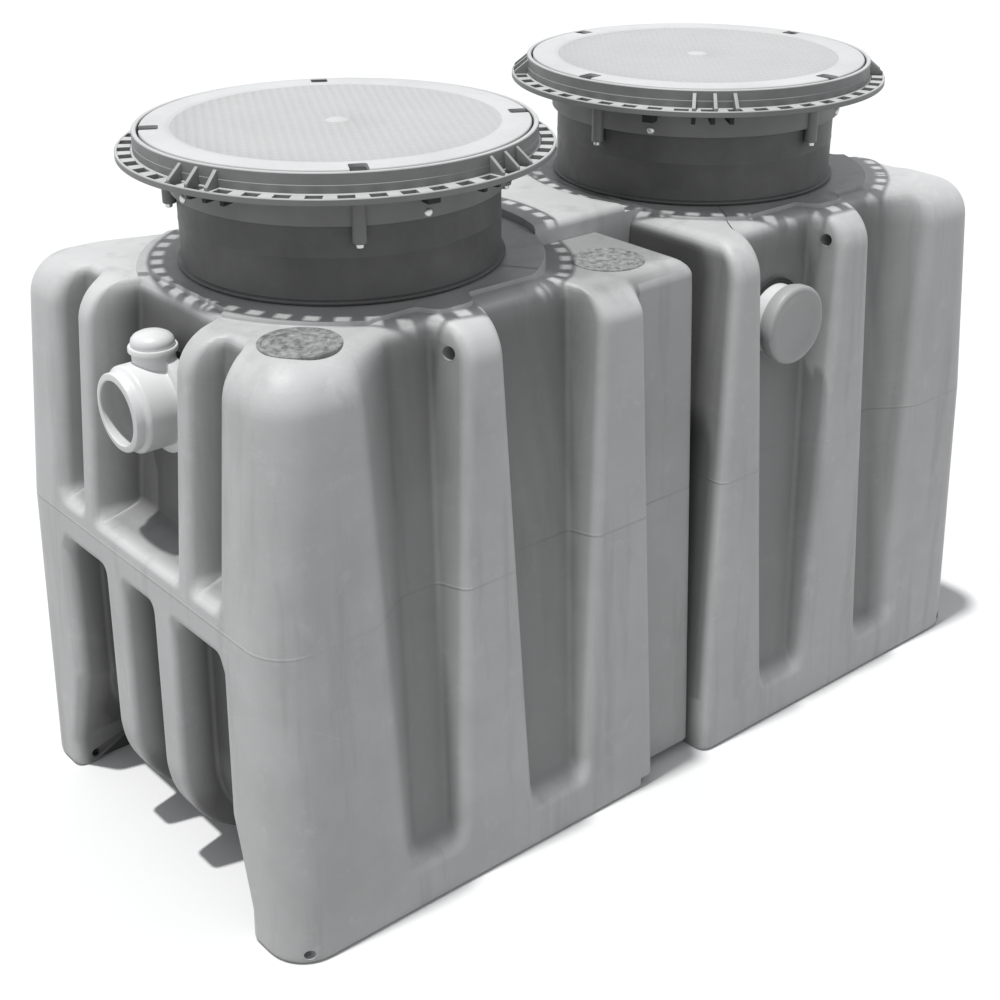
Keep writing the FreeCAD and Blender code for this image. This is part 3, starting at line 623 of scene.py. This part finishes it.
shaft_profile = [(r, DECK + h) for r, h in (
    (316.0, 0.0), (329.6, 0.0), (329.6, 10.2), (334.0, 10.2), (337.0, 11.5), (338.0, 14.5), (337.0, 17.5),
    (334.0, 19.0), (330.0, 20.0), (329.0, 23.0), (329.0, 100.0), (329.6, 101.0), (329.6, 104.0),
    (329.0, 105.0),
)] + [(329.0, SHAFT_TOP - 1.0), (328.0, SHAFT_TOP), (316.0, SHAFT_TOP)]
for name, x in SHAFTS:
    dress(grid_piece(name + "_tube", turned(shaft_profile, x)), "shaft", name + "_shaft")

# %% [markdown]
# Bars, gussets and lock blocks are small boxes set round a circle. An array modifier could repeat them,
# but it would stay live on the piece. So one box is worked out as a grid with softened edges, and an
# array of angles turns it to all its places at once.

# %% Boxes round a circle
def block_grid(r0, r1, w0, w1, z0, z1, soft):
    """Box from radius r0 to r1 with widths w0 and w1 at its ends: rows along the radius, each an
    outline of width and height with eased corners, and poles at both ends."""
    r = np.array([r0, r0, r0 + soft, r1 - soft, r1, r1])
    share = np.clip((r - r0) / (r1 - r0), 0.0, 1.0)
    shrink = np.array([0.0, 1.0, 1.0, 1.0, 1.0, 0.0])
    inset = np.array([soft, soft, 0.0, 0.0, soft, soft])
    turn = np.array([0.0, 0.25, 0.5, 0.75, 1.0])
    arcs = np.concatenate([np.radians(90.0 * (q + turn)) for q in range(4)])
    sign = np.repeat(np.array([(1.0, 1.0), (-1.0, 1.0), (-1.0, -1.0), (1.0, -1.0)]), 5, 0)
    half_w = 0.5 * (w0 + (w1 - w0) * share) - inset
    half_h = 0.5 * (z1 - z0) - inset
    y = shrink[:, None] * (sign[:, 0] * (half_w[:, None] - soft) + soft * np.cos(arcs))
    z = shrink[:, None] * (sign[:, 1] * (half_h[:, None] - soft) + soft * np.sin(arcs))
    return np.stack([np.broadcast_to(r[:, None], y.shape), y, z + 0.5 * (z0 + z1)], -1)


def spun(grid, angles, x):
    """Copies of a grid turned to each angle round the upright axis at x."""
    a = np.radians(np.asarray(angles, float))[:, None, None]
    c, s = np.cos(a), np.sin(a)
    px = x + c * grid[..., 0] - s * grid[..., 1]
    py = s * grid[..., 0] + c * grid[..., 1]
    return list(np.stack([px, py, np.broadcast_to(grid[..., 2], px.shape)], -1))


print("points of one box:", block_grid(0.0, 10.0, 4.0, 4.0, 0.0, 4.0, 1.0).shape)

# %% [markdown]
# The cover frame has a skirt over the shaft, a flange pierced by square slots, an upstand round the
# cover, thin gussets in threes and locking bosses under the key holes. Cutting 46 slots with booleans
# would be slow, so the flange is two turned rings with bars between, and the slots are left open.

# %% Cover frames
FLANGE = 440.0
FLANGE_Z = SHAFT_TOP
FLANGE_TOP = FLANGE_Z + 13.0
SLOTS = 46
QUARTERS = 90.0 * np.arange(4)
KEYS = {"inlet": -119.0, "outlet": -176.0}
SCREW_TURN = 23.0


def frame_rings(x):
    """Two turned rings: the skirt with inner flange, upstand and seat, and the outer rim."""
    low, high = FLANGE_Z, FLANGE_TOP
    skirt = [
        (330.3, low - 66.0), (331.0, low - 67.0), (341.0, low - 67.0), (342.3, low - 65.5), (342.3, low),
        (409.0, low), (409.0, high - 1.5), (407.5, high), (405.0, high + 0.5), (405.0, high + 15.0),
        (404.2, high + 16.0), (404.2, high + 36.5), (402.7, high + 38.0), (395.5, high + 38.0),
        (394.0, high + 36.5), (394.0, high + 8.0), (316.0, high + 8.0), (316.0, low), (330.3, low),
    ]
    rim = [
        (FLANGE - 6.0, low + 1.0), (FLANGE - 5.0, low), (FLANGE - 1.5, low), (FLANGE, low + 1.5),
        (FLANGE, high - 1.5), (FLANGE - 1.5, high), (FLANGE - 5.0, high), (FLANGE - 6.0, high - 1.0),
    ]
    return [turned(skirt, x, 184), turned(rim, x, 184)]


def gusset_angles(key):
    """Twelve angles: three gussets, 6.2 degrees apart, midway between neighbouring keys."""
    return [key + 45.0 + quarter + 6.2 * side for quarter in QUARTERS for side in (-1, 0, 1)]


def frame_blocks(x, key):
    """Bars between the slots, each as wide as the pitch less 31 mm, and twelve sloping gussets."""
    pitch = 360.0 / SLOTS
    widths = [r * math.radians(pitch) - 31.0 for r in (408.0, 435.0)]
    bar = block_grid(408.0, 435.0, *widths, FLANGE_Z, FLANGE_TOP, 1.2)
    web = block_grid(401.0, 436.0, 8.0, 8.0, FLANGE_TOP - 3.0, FLANGE_TOP + 34.0, 1.0)
    slope = np.clip((web[..., 0] - 406.0) / 30.0, 0.0, 1.0)
    web[..., 2] -= 28.0 * slope * np.clip((web[..., 2] - FLANGE_TOP) / 34.0, 0.0, 1.0)
    return spun(bar, key + pitch * np.arange(SLOTS), x) + spun(web, gusset_angles(key), x)


def shade_and_hook_blocks(x, key):
    """Small black webs under the flange below each gusset, which paint the shade there, and a hook over
    each screw of the skirt.
    """
    foot = block_grid(341.0, 392.0, 10.0, 10.0, FLANGE_Z - 26.0, FLANGE_Z + 3.0, 1.0)
    hook = block_grid(341.0, 366.0, 28.0, 28.0, FLANGE_Z - 34.0, FLANGE_Z + 3.0, 1.5)
    return spun(foot, gusset_angles(key), x) + spun(hook, key + SCREW_TURN + QUARTERS, x)


def around(profile, x, reach, turn, z, axis, cols):
    """A turned profile that starts at a radius and an angle round a shaft's axis."""
    start = (x + reach * math.cos(turn), reach * math.sin(turn), z)
    return tube_grid(profile, start, axis, cols)


UP = (0, 0, 1)
boss = [(0.0, 0.0), (0.0, 12.5), (1.5, 14.0), (99.0, 14.0), (99.0, 0.0)]
for name, x in SHAFTS:
    rings = frame_rings(x)
    blocks = frame_blocks(x, KEYS[name])
    turns = np.radians(KEYS[name] + QUARTERS)
    bosses = [around(boss, x, 342.3, t, FLANGE_Z - 99.0, UP, 24) for t in turns]
    dress(joined_grids(name + "_frame", rings + blocks + bosses), "frame", name + "_cover_frame")
    # the black webs under each flange are painted shade
    dress(joined_grids(name + "_shade_and_hooks", shade_and_hook_blocks(x, KEYS[name])), "rubber")

# %% [markdown]
# Bright screws show on the dark frame: the end of the locking bolt under each boss, and a small head
# on the skirt a little further round. At this size spheres and cylinders would do, but a turned profile
# costs no more and gives a chamfered tip and a low dome.

# %% Screws
def screw_grids(x, key):
    """Bolt ends under the bosses and dome heads on the skirt's lower edge."""
    tip = [(0.0, 0.0), (0.0, 6.0), (1.5, 7.5), (9.0, 7.5), (9.0, 0.0)]
    dome = [(0.0, 0.0), (0.0, 9.0), (2.0, 8.6), (4.5, 6.0), (5.6, 0.0)]
    out = []
    for quarter in QUARTERS:
        t = math.radians(key + quarter)
        out.append(around(tip, x, 344.0, t, FLANGE_Z - 107.5, UP, 18))
        t = math.radians(key + quarter + SCREW_TURN)
        outward = (math.cos(t), math.sin(t), 0.0)
        out.append(around(dome, x, 342.0, t, FLANGE_Z - 56.0, outward, 18))
    return out


screws = []
for name, x in SHAFTS:
    piece = joined_grids(name + "_screws", screw_grids(x, KEYS[name]))
    screws.append(dress(piece, "frame"))

# %% [markdown]
# The cover is a flat disc with a smooth outer band and a fine chequer inside it. At its edge four
# notches let a key reach the dark lock blocks, which are one small grid turned to each place. The chequer
# could be thousands of raised diamonds, but it is too fine to be worth them, so the mesh carries
# coordinates turned with the keys, and the finish draws it from them as bump and shade.

# %% Covers
COVER_Z = FLANGE_TOP + 11.0
COVER_TOP = COVER_Z + 29.0


def cover_profile():
    """Radius and height from the underside's pole over the chamfered edge to the top's pole."""
    low, high, sunk = COVER_Z, COVER_TOP, COVER_TOP - 1.6
    return [
        (low, 0.0), (low, 386.0), (low + 4.0, 390.0), (high - 3.0, 390.0), (high - 0.8, 389.0),
        (high, 387.0), (high, 345.0), (high, 334.0), (sunk, 332.0), (sunk, 250.0), (sunk, 120.0),
        (sunk, 22.0), (high, 20.0), (high, 0.0),
    ]


def put_plan(mesh, x, degrees):
    """UV map in metres: each point's place from the cover's middle, turned back by an angle."""
    co = np.empty(len(mesh.vertices) * 3)
    mesh.vertices.foreach_get("co", co)
    local = co.reshape(-1, 3)[:, :2] - np.array([x * MM, 0.0])
    a = math.radians(degrees)
    turned_xy = local @ np.array([[math.cos(a), -math.sin(a)], [math.sin(a), math.cos(a)]])
    corner = np.empty(len(mesh.loops), dtype=np.int32)
    mesh.loops.foreach_get("vertex_index", corner)
    mesh.uv_layers.new(name="plan").data.foreach_set("uv", turned_xy[corner].ravel())


notch = block_grid(351.0, 398.0, 36.0, 36.0, COVER_TOP - 20.0, COVER_TOP + 9.0, 4.0)
lock = block_grid(353.5, 391.0, 31.0, 31.0, COVER_TOP - 21.0, COVER_TOP - 5.0, 3.0)
for name, x in SHAFTS:
    disc = grid_piece(name + "_lid", tube_grid(cover_profile(), (x, 0.0, 0.0), UP, 240), crease=30.0)
    turns = KEYS[name] + QUARTERS
    cut_rods(disc, spun(notch, turns, x))
    dress(joined_grids(name + "_locks", spun(lock, turns, x)), "rubber")
    put_plan(disc.data, x, KEYS[name] + 45.0)
    dress(disc, "cover", name + "_cover")

# %% [markdown]
# The inlet is a white drain fitting: a thick-lipped mouth, a wider body, a collar at the wall and a
# short branch with a domed plug. Stacked cylinders would show steps at every change of width, so each
# is one turned profile, and the pipe's loop comes back inside as its bore.

# %% Inlet tee and plug
IN_Z = DECK - 203.0
MOUTH = -1066.72
BODY_END = -944.0


def closed_loop(profile):
    return profile + [profile[0]]


tee_profile = closed_loop([
    (0.0, 71.0), (1.5, 78.5), (3.5, 80.0), (19.0, 80.0), (21.0, 80.6), (24.0, 85.0), (28.0, 88.5),
    (32.0, 89.0), (88.0, 89.0), (91.0, 90.0), (93.0, 94.0), (94.0, 104.0), (96.0, 106.0), (120.0, 106.0),
    (122.4, 104.0), (122.4, 80.0), (218.0, 80.0), (218.0, 75.0), (40.0, 75.0), (30.0, 73.5), (12.0, 66.0),
    (2.0, 65.0), (0.0, 66.5),
])
branch_profile = closed_loop([
    (70.0, 43.0), (106.0, 43.0), (108.5, 47.0), (110.0, 49.0), (118.0, 49.0), (120.0, 47.5),
    (120.0, 39.0), (70.0, 39.0),
])
plug_profile = [
    (120.0, 0.0), (120.0, 42.0), (122.0, 43.0), (128.0, 43.0), (134.0, 41.5), (140.0, 36.5),
    (144.5, 28.0), (147.0, 15.0), (148.0, 0.0),
]
branch_x = BODY_END - 30.0
tee = joined_grids("tee_fitting", [
    tube_grid(tee_profile, (MOUTH, 0.0, IN_Z), (1, 0, 0), 96),
    tube_grid(branch_profile, (branch_x, 0.0, IN_Z), UP, 96),
], crease=40.0)
dress(tee, "pipe", "inlet_tee")
plug = grid_piece("tee_plug", tube_grid(plug_profile, (branch_x, 0.0, IN_Z), UP, 64), crease=50.0)
dress(plug, "pipe", "inlet_tee_plug")

# %% [markdown]
# On the long side a white stub pipe ends in a grey cap with a rounded rim and a dished face. The outlet
# at the far end, which the photograph doesn't show, is a plain spigot with a collar. Each has its own
# outline, so they aren't copies of the inlet but new profiles for the same turning helper.

# %% Side pipe, cap and outlet pipe
SIDE = (362.0, -497.64, DECK - 224.0)
cap_profile = closed_loop([
    (8.0, 0.0), (8.0, 52.0), (6.0, 58.0), (3.0, 66.0), (0.5, 76.0), (0.0, 80.0), (1.0, 85.5), (4.0, 89.5),
    (8.0, 91.0), (24.0, 91.0), (27.0, 90.0), (28.0, 88.5), (34.0, 88.0), (37.0, 87.0), (38.0, 85.0),
    (38.0, 80.3), (10.0, 80.3), (10.0, 0.0),
])
dress(grid_piece("side_cap", tube_grid(cap_profile, SIDE, (0, 1, 0), 96)), "cap", "side_pipe_cap")
stub_profile = closed_loop([(12.0, 79.8), (165.0, 79.8), (165.0, 75.0), (12.0, 75.0)])
dress(grid_piece("side_stub", tube_grid(stub_profile, SIDE, (0, 1, 0), 96)), "pipe", "side_pipe")
out_profile = closed_loop([
    (0.0, 76.5), (1.5, 79.0), (4.0, 80.0), (68.0, 80.0), (71.0, 81.0), (74.0, 87.0), (77.0, 89.0),
    (109.0, 89.0), (111.4, 87.5), (111.4, 80.0), (207.0, 80.0), (207.0, 75.0), (2.0, 75.0),
])
OUT = (1061.49, 0.0, DECK - 273.0)
spigot = grid_piece("outlet_spigot", tube_grid(out_profile, OUT, (-1, 0, 0), 96))
dress(spigot, "pipe", "outlet_pipe")

# %% [markdown]
# Two round plates on the deck carry a stamp on the real tank. Here they stay bare. A bump in the tank's
# finish could draw them, but a turned profile also gives low light an edge to catch: a low disc with a
# double rim.

# %% Bare plates
plate_profile = [
    (-3.0, 0.0), (-3.0, 78.0), (1.6, 78.0), (2.6, 77.0), (2.6, 70.0), (1.2, 69.0), (1.2, 57.0), (2.2, 56.0),
    (2.2, 51.0), (1.2, 50.0), (1.2, 0.0),
]
plate_spots = ((-871.0, -363.0, DECK), (-75.0, -330.0, DECK - DIP))
plate_grids = [tube_grid(plate_profile, spot, UP, 72) for spot in plate_spots]
plates = joined_grids("deck_plates", plate_grids, crease=40.0)
dress(plates, "tank")

# %% [markdown]
# Finishes are node trees in object coordinates, which are metres here, so a noise of scale 200 has
# grains of about five millimetres. Trees could be wired by hand in the shader editor; a small helper
# that adds a node and fills its sockets keeps each finish to a few lines that can be read.

# %% Node helpers
def node(tree, kind, settings=None, **sockets):
    """Add a node; a socket is given by name, or by number as i0, i1 and so on. Another node's output
    is linked to it, and any other value is set."""
    made = tree.nodes.new(kind)
    for key, value in (settings or {}).items():
        setattr(made, key, value)
    for key, value in sockets.items():
        by_number = key[0] == "i" and key[1:].isdigit()
        socket = made.inputs[int(key[1:]) if by_number else key]
        if isinstance(value, bpy.types.NodeSocket):
            tree.links.new(value, socket)
        else:
            socket.default_value = value
    return made


def noise(tree, where, scale, detail=4.0, rough=0.55):
    sockets = {"Vector": where, "Scale": scale, "Detail": detail, "Roughness": rough}
    return node(tree, "ShaderNodeTexNoise", None, **sockets).outputs[0]


def level(tree, value, low, high, to_low=0.0, to_high=1.0):
    """Map a value's range low to high onto another range, clamped."""
    made = node(tree, "ShaderNodeMapRange", {"clamp": True}, Value=value)
    for i, v in enumerate((low, high, to_low, to_high)):
        made.inputs[i + 1].default_value = v
    return made.outputs[0]


def blend(tree, factor, a, b):
    """Colour a where the factor is 0 and b where it is 1."""
    return node(tree, "ShaderNodeMix", {"data_type": "RGBA"}, i0=factor, i6=a, i7=b).outputs[2]


def math_node(tree, how, a, b):
    return node(tree, "ShaderNodeMath", {"operation": how}, i0=a, i1=b).outputs[0]


def new_finish(name):
    """Fresh material with its tree, its shader and object coordinates."""
    made = bpy.data.materials.new(name)
    made.use_nodes = True
    tree = made.node_tree
    where = tree.nodes.new("ShaderNodeTexCoord").outputs["Object"]
    return made, tree, tree.nodes["Principled BSDF"], where


def bumped(tree, shader, height, strength, distance):
    bump = node(tree, "ShaderNodeBump", None, Strength=strength, Distance=distance, Height=height)
    tree.links.new(bump.outputs[0], shader.inputs["Normal"])


def looked_at(tree):
    """1 for rays from the eye, straight, mirrored or through glass, and 0 for light bounced about."""
    path = tree.nodes.new("ShaderNodeLightPath")
    seen = math_node(tree, "MAXIMUM", path.outputs["Is Camera Ray"], path.outputs["Is Glossy Ray"])
    return math_node(tree, "MAXIMUM", seen, path.outputs["Is Transmission Ray"])


grey = lambda v: (v, v, v * 0.995, 1.0)
print("a middle grey:", grey(0.5))

# %% [markdown]
# The tank is rotationally moulded polyethylene: satin, slightly mottled, with a fine orange-peel skin,
# soft vertical stains, pale scuffs on proud edges, a few scratches from handling, a thin seam at the
# mould's parting line, and painted shade where the mesh's own attribute says that a recess is deep or the
# deck lies under a flange. A flat grey would look like a drawing; layers of noise at different scales wear
# it in without any image.

# %% Tank finish
def tank_finish():
    """Layers from the plastic outwards: mottle, streaks, scuffs, seam, wear, scratches and painted shade."""
    made, tree, shader, where = new_finish("moulded_polyethylene")
    mottle = noise(tree, where, 3.0, 6.0, 0.6)
    tall = node(tree, "ShaderNodeMapping", None, Vector=where, Scale=(16.0, 16.0, 1.3)).outputs[0]
    streak = noise(tree, tall, 1.0, 5.0, 0.6)
    scuff = level(tree, noise(tree, where, 14.0, 9.0, 0.72), 0.56, 0.72)
    edge = level(tree, tree.nodes.new("ShaderNodeNewGeometry").outputs["Pointiness"], 0.505, 0.56)
    worn = math_node(tree, "MULTIPLY", edge, level(tree, noise(tree, where, 6.0, 5.0), 0.35, 0.7))
    tilt, stretch = (0.3, 0.2, 0.5), (1.0, 1.0, 5.0)
    thin = node(tree, "ShaderNodeMapping", None, Vector=where, Rotation=tilt, Scale=stretch).outputs[0]
    to_edge = {"feature": "DISTANCE_TO_EDGE"}
    cracks = node(tree, "ShaderNodeTexVoronoi", to_edge, Vector=thin, Scale=2.4).outputs[0]
    line = level(tree, cracks, 0.006, 0.0)
    scratch = math_node(tree, "MULTIPLY", line, level(tree, noise(tree, where, 2.2, 3.0), 0.52, 0.6))
    # painted shade in recesses and under the flanges, read from the recess attribute
    painted_shade = node(tree, "ShaderNodeAttribute", {"attribute_name": "recess"}).outputs["Fac"]
    height = node(tree, "ShaderNodeSeparateXYZ", None, Vector=where).outputs[2]
    from_seam = math_node(tree, "SUBTRACT", height, 0.7)
    seam = level(tree, math_node(tree, "ABSOLUTE", from_seam, 0.0), 0.0035, 0.0015)
    colour = blend(tree, level(tree, mottle, 0.3, 0.7), grey(0.52), grey(0.66))
    colour = blend(tree, level(tree, streak, 0.52, 0.74, 0.0, 0.55), colour, grey(0.38))
    patchy = level(tree, noise(tree, where, 2.5, 4.0), 0.42, 0.62, 0.1, 1.0)
    shown = math_node(tree, "MULTIPLY", seam, patchy)
    layers = [(scuff, 0.4, 0.76), (shown, 0.42, 0.3), (worn, 0.35, 0.76), (scratch, 0.3, 0.72)]
    # the last layer darkens towards near black as painted shade
    for mask, most, tone in layers + [(painted_shade, 0.88, 0.05)]:
        colour = blend(tree, level(tree, mask, 0.0, 1.0, 0.0, most), colour, grey(tone))
    tree.links.new(colour, shader.inputs["Base Color"])
    tree.links.new(level(tree, mottle, 0.3, 0.7, 0.42, 0.58), shader.inputs["Roughness"])
    peel = math_node(tree, "MULTIPLY", noise(tree, where, 260.0, 2.0), 0.35)
    wave = math_node(tree, "ADD", noise(tree, where, 9.0, 3.0), math_node(tree, "ADD", peel, seam))
    bumped(tree, shader, wave, 0.25, 0.004)
    return made


TANK = tank_finish()
print("finish:", TANK.name, "nodes:", len(TANK.node_tree.nodes))

# %% [markdown]
# Shafts and frames are dark moulded plastic with dust on faces that look up, pipes are smooth white PVC,
# seals are black rubber and the screws are zinc. Each could have a tree of its own, but they differ only
# in tone, gloss and grain, so one function makes them all.

# %% Other finishes
def plain_finish(name, dark, light, rough, grain, depth, dust=0.0):
    """Mottled plastic: two tones by a broad noise, a grain for the bump and dust on upward faces."""
    made, tree, shader, where = new_finish(name)
    broad = noise(tree, where, 5.0, 6.0, 0.65)
    colour = blend(tree, level(tree, broad, 0.3, 0.7), dark, light)
    normal = tree.nodes.new("ShaderNodeNewGeometry").outputs["Normal"]
    up = node(tree, "ShaderNodeSeparateXYZ", None, Vector=normal).outputs[2]
    fine = noise(tree, where, 22.0, 8.0, 0.7)
    settled = level(tree, up, 0.5, 1.0, 0.0, dust)
    dusty = math_node(tree, "MULTIPLY", settled, level(tree, fine, 0.3, 0.7, 0.75, 1.0))
    colour = blend(tree, dusty, colour, grey(0.62))
    colour = blend(tree, level(tree, fine, 0.62, 0.78, 0.0, 0.25), colour, light)
    tree.links.new(colour, shader.inputs["Base Color"])
    tree.links.new(level(tree, fine, 0.3, 0.7, rough - 0.07, rough + 0.09), shader.inputs["Roughness"])
    bumped(tree, shader, noise(tree, where, grain, 3.0), 0.2, depth)
    return made


SHAFT = plain_finish("dark_shaft_plastic", grey(0.085), grey(0.14), 0.5, 120.0, 0.0015)
FRAME = plain_finish("dark_frame_plastic", grey(0.19), grey(0.26), 0.5, 160.0, 0.001, dust=1.0)
PIPE = plain_finish("white_pvc", grey(0.77), grey(0.82), 0.32, 60.0, 0.0006)
CAP = plain_finish("grey_cap_plastic", grey(0.40), grey(0.46), 0.45, 120.0, 0.0008)
RUBBER = plain_finish("black_rubber", grey(0.02), grey(0.035), 0.75, 300.0, 0.0006)
STAMP = plain_finish("embossed_plate", grey(0.10), grey(0.44), 0.6, 90.0, 0.004)
STAMP.node_tree.nodes["Noise Texture"].inputs["Scale"].default_value = 75.0
STEEL = plain_finish("zinc_screw", grey(0.7), grey(0.85), 0.3, 400.0, 0.0003)
STEEL.node_tree.nodes["Principled BSDF"].inputs["Metallic"].default_value = 0.6
print("finishes:", len(bpy.data.materials))

# %% [markdown]
# The covers are paler plastic with a chequer that stops at the smooth outer band and at a small boss in
# the middle. An image of a tread plate would repeat and blur, so two sine waves draw it from the
# coordinates that the mesh carries, at any distance.

# %% Cover finish
CHEQUER = 0.026


def cover_finish():
    """Chequer: the product of two sine waves across each other gives rows of small raised lozenges
    inside the smooth band."""
    made, tree, shader, where = new_finish("chequered_cover")
    plan = node(tree, "ShaderNodeUVMap", {"uv_map": "plan"}).outputs[0]
    part = node(tree, "ShaderNodeSeparateXYZ", None, Vector=plan)
    waves = []
    for axis in (0, 1):
        angle = math_node(tree, "MULTIPLY", part.outputs[axis], 2.0 * math.pi / CHEQUER)
        waves.append(math_node(tree, "SINE", angle, 0.0))
    diamond = math_node(tree, "MULTIPLY", waves[0], waves[1])
    far = node(tree, "ShaderNodeVectorMath", {"operation": "LENGTH"}, Vector=plan).outputs[1]
    zone = math_node(tree, "MULTIPLY", level(tree, far, 0.331, 0.329), level(tree, far, 0.022, 0.024))
    raised = math_node(tree, "MULTIPLY", level(tree, diamond, -0.1, 0.35), zone)
    broad = noise(tree, where, 4.0, 7.0, 0.65)
    fine = noise(tree, where, 40.0, 6.0, 0.7)
    colour = blend(tree, level(tree, broad, 0.3, 0.7), grey(0.56), grey(0.66))
    colour = blend(tree, level(tree, zone, 0.0, 1.0, 0.0, 0.6), colour, grey(0.40))
    colour = blend(tree, level(tree, raised, 0.0, 1.0, 0.0, 0.3), colour, grey(0.62))
    colour = blend(tree, level(tree, fine, 0.6, 0.8, 0.0, 0.3), colour, grey(0.34))
    tree.links.new(colour, shader.inputs["Base Color"])
    tree.links.new(level(tree, fine, 0.3, 0.7, 0.42, 0.6), shader.inputs["Roughness"])
    height = math_node(tree, "ADD", raised, math_node(tree, "MULTIPLY", fine, 0.15))
    bumped(tree, shader, height, 0.6, 0.0016)
    return made


COVER = cover_finish()
print("finish:", COVER.name, "nodes:", len(COVER.node_tree.nodes))

# %% [markdown]
# Every surface gets its finish by its material slot, the CAD solids that still show as well. Naming each
# object would be longer and could miss one; only screws and bare plates have a finish of their own.

# %% Finishes onto surfaces
finish_of = {
    "tank": TANK, "shaft": SHAFT, "frame": FRAME, "cover": COVER, "rubber": RUBBER, "pipe": PIPE, "cap": CAP,
}
slot_of = {p["node"]: p["material_slot"] for p in frame["record"]["subparts"]}
for name, obj in frame["nodes"].items():
    obj.data.materials.clear()
    obj.data.materials.append(finish_of[slot_of[name]])
for obj in scene.objects:
    if obj.type == "MESH" and not obj.data.materials:
        own = STEEL if obj in screws else STAMP if obj is plates else None
        obj.data.materials.append(own or finish_of[obj["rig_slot"]])

# %% [markdown]
# The photograph's background is cut away to white. A brighter lamp would whiten the object too, so the
# floor is pale by its own colour and only to the eye; light that bounces off it is that of open ground,
# and it keeps the object's shadow.

# %% Floor
def big_plane(name, size):
    """A square grid of four points on the ground."""
    s = np.array([(-1.0, -1.0), (1.0, -1.0), (-1.0, 1.0), (1.0, 1.0)]) * size / MM
    points = np.concatenate([s, np.zeros((4, 1))], 1).reshape(2, 2, 3)
    return grid_piece(name, points, closed=False)


floor = big_plane("studio_floor", 30.0)
PALE, pale_tree, pale_shader, pale_where = new_finish("pale_floor")
pale = blend(pale_tree, noise(pale_tree, pale_where, 1.5, 3.0), grey(0.80), grey(0.84))
pale = blend(pale_tree, looked_at(pale_tree), grey(0.32), pale)
pale_tree.links.new(pale, pale_shader.inputs["Base Color"])
pale_shader.inputs["Roughness"].default_value = 0.9
floor.data.materials.append(PALE)
print("floor size:", tuple(round(v, 1) for v in floor.dimensions))

# %% [markdown]
# The photograph was taken out of doors with a high sun: it shines through the slots of the frames and
# leaves a row of light spots on the deck. Area lamps would blur those spots away, so a slightly softened
# sun lamp lights the object, with a pale sky to fill the shade. The sky, too, is brighter to the eye.

# %% Sun and sky
SKY_LIGHT, SKY_SEEN = 0.44, 0.94
lamp_data = bpy.data.lights.new("high_sun", "SUN")
lamp_data.angle = math.radians(2.5)
lamp_data.energy = 2.8
lamp = bpy.data.objects.new("high_sun", lamp_data)
scene.collection.objects.link(lamp)
lamp.rotation_euler = Vector((0.179, -0.043, -0.983)).to_track_quat("-Z", "Y").to_euler()
world = bpy.data.worlds.new("studio")
world.use_nodes = True
world.node_tree.nodes["Background"].inputs[0].default_value = (0.95, 0.97, 1.0, 1.0)
sky = world.node_tree
sky_strength = level(sky, looked_at(sky), 0.0, 1.0, SKY_LIGHT, SKY_SEEN)
sky.links.new(sky_strength, sky.nodes["Background"].inputs[1])
scene.world = world
scene.view_settings.view_transform = "Standard"
print("sun strength:", lamp_data.energy, "sky strength:", SKY_LIGHT)

# %% [markdown]
# The camera's place, direction and lens come from fitting the cover rims and the tank's corners to the
# photograph. Aiming it at a target by eye would leave a small roll, so its three axes are given: right,
# up and viewing direction.

# %% Camera
right = Vector((0.76378, -0.64548, -0.00047))
upward = Vector((0.28824, 0.34042, 0.89500))
forward = Vector((0.57755, 0.68372, -0.44606))
camera_data = bpy.data.cameras.new("photo_camera")
camera_data.lens = 57.69
camera_data.sensor_width = 36.0
camera_data.clip_end = 200.0
camera = bpy.data.objects.new("photo_camera", camera_data)
scene.collection.objects.link(camera)
basis = Matrix((right, upward, -forward)).transposed().to_4x4()
camera.matrix_world = Matrix.Translation((-2.33983, -2.65936, 2.27456)) @ basis
scene.camera = camera
print("camera at", tuple(round(v, 3) for v in camera.location))

# %% [markdown]
# Last, the view layer is updated, so that every piece stands where it was put. The dressed part must
# stay within the CAD part's box, because other tools rely on that size.

bpy.context.view_layer.update()
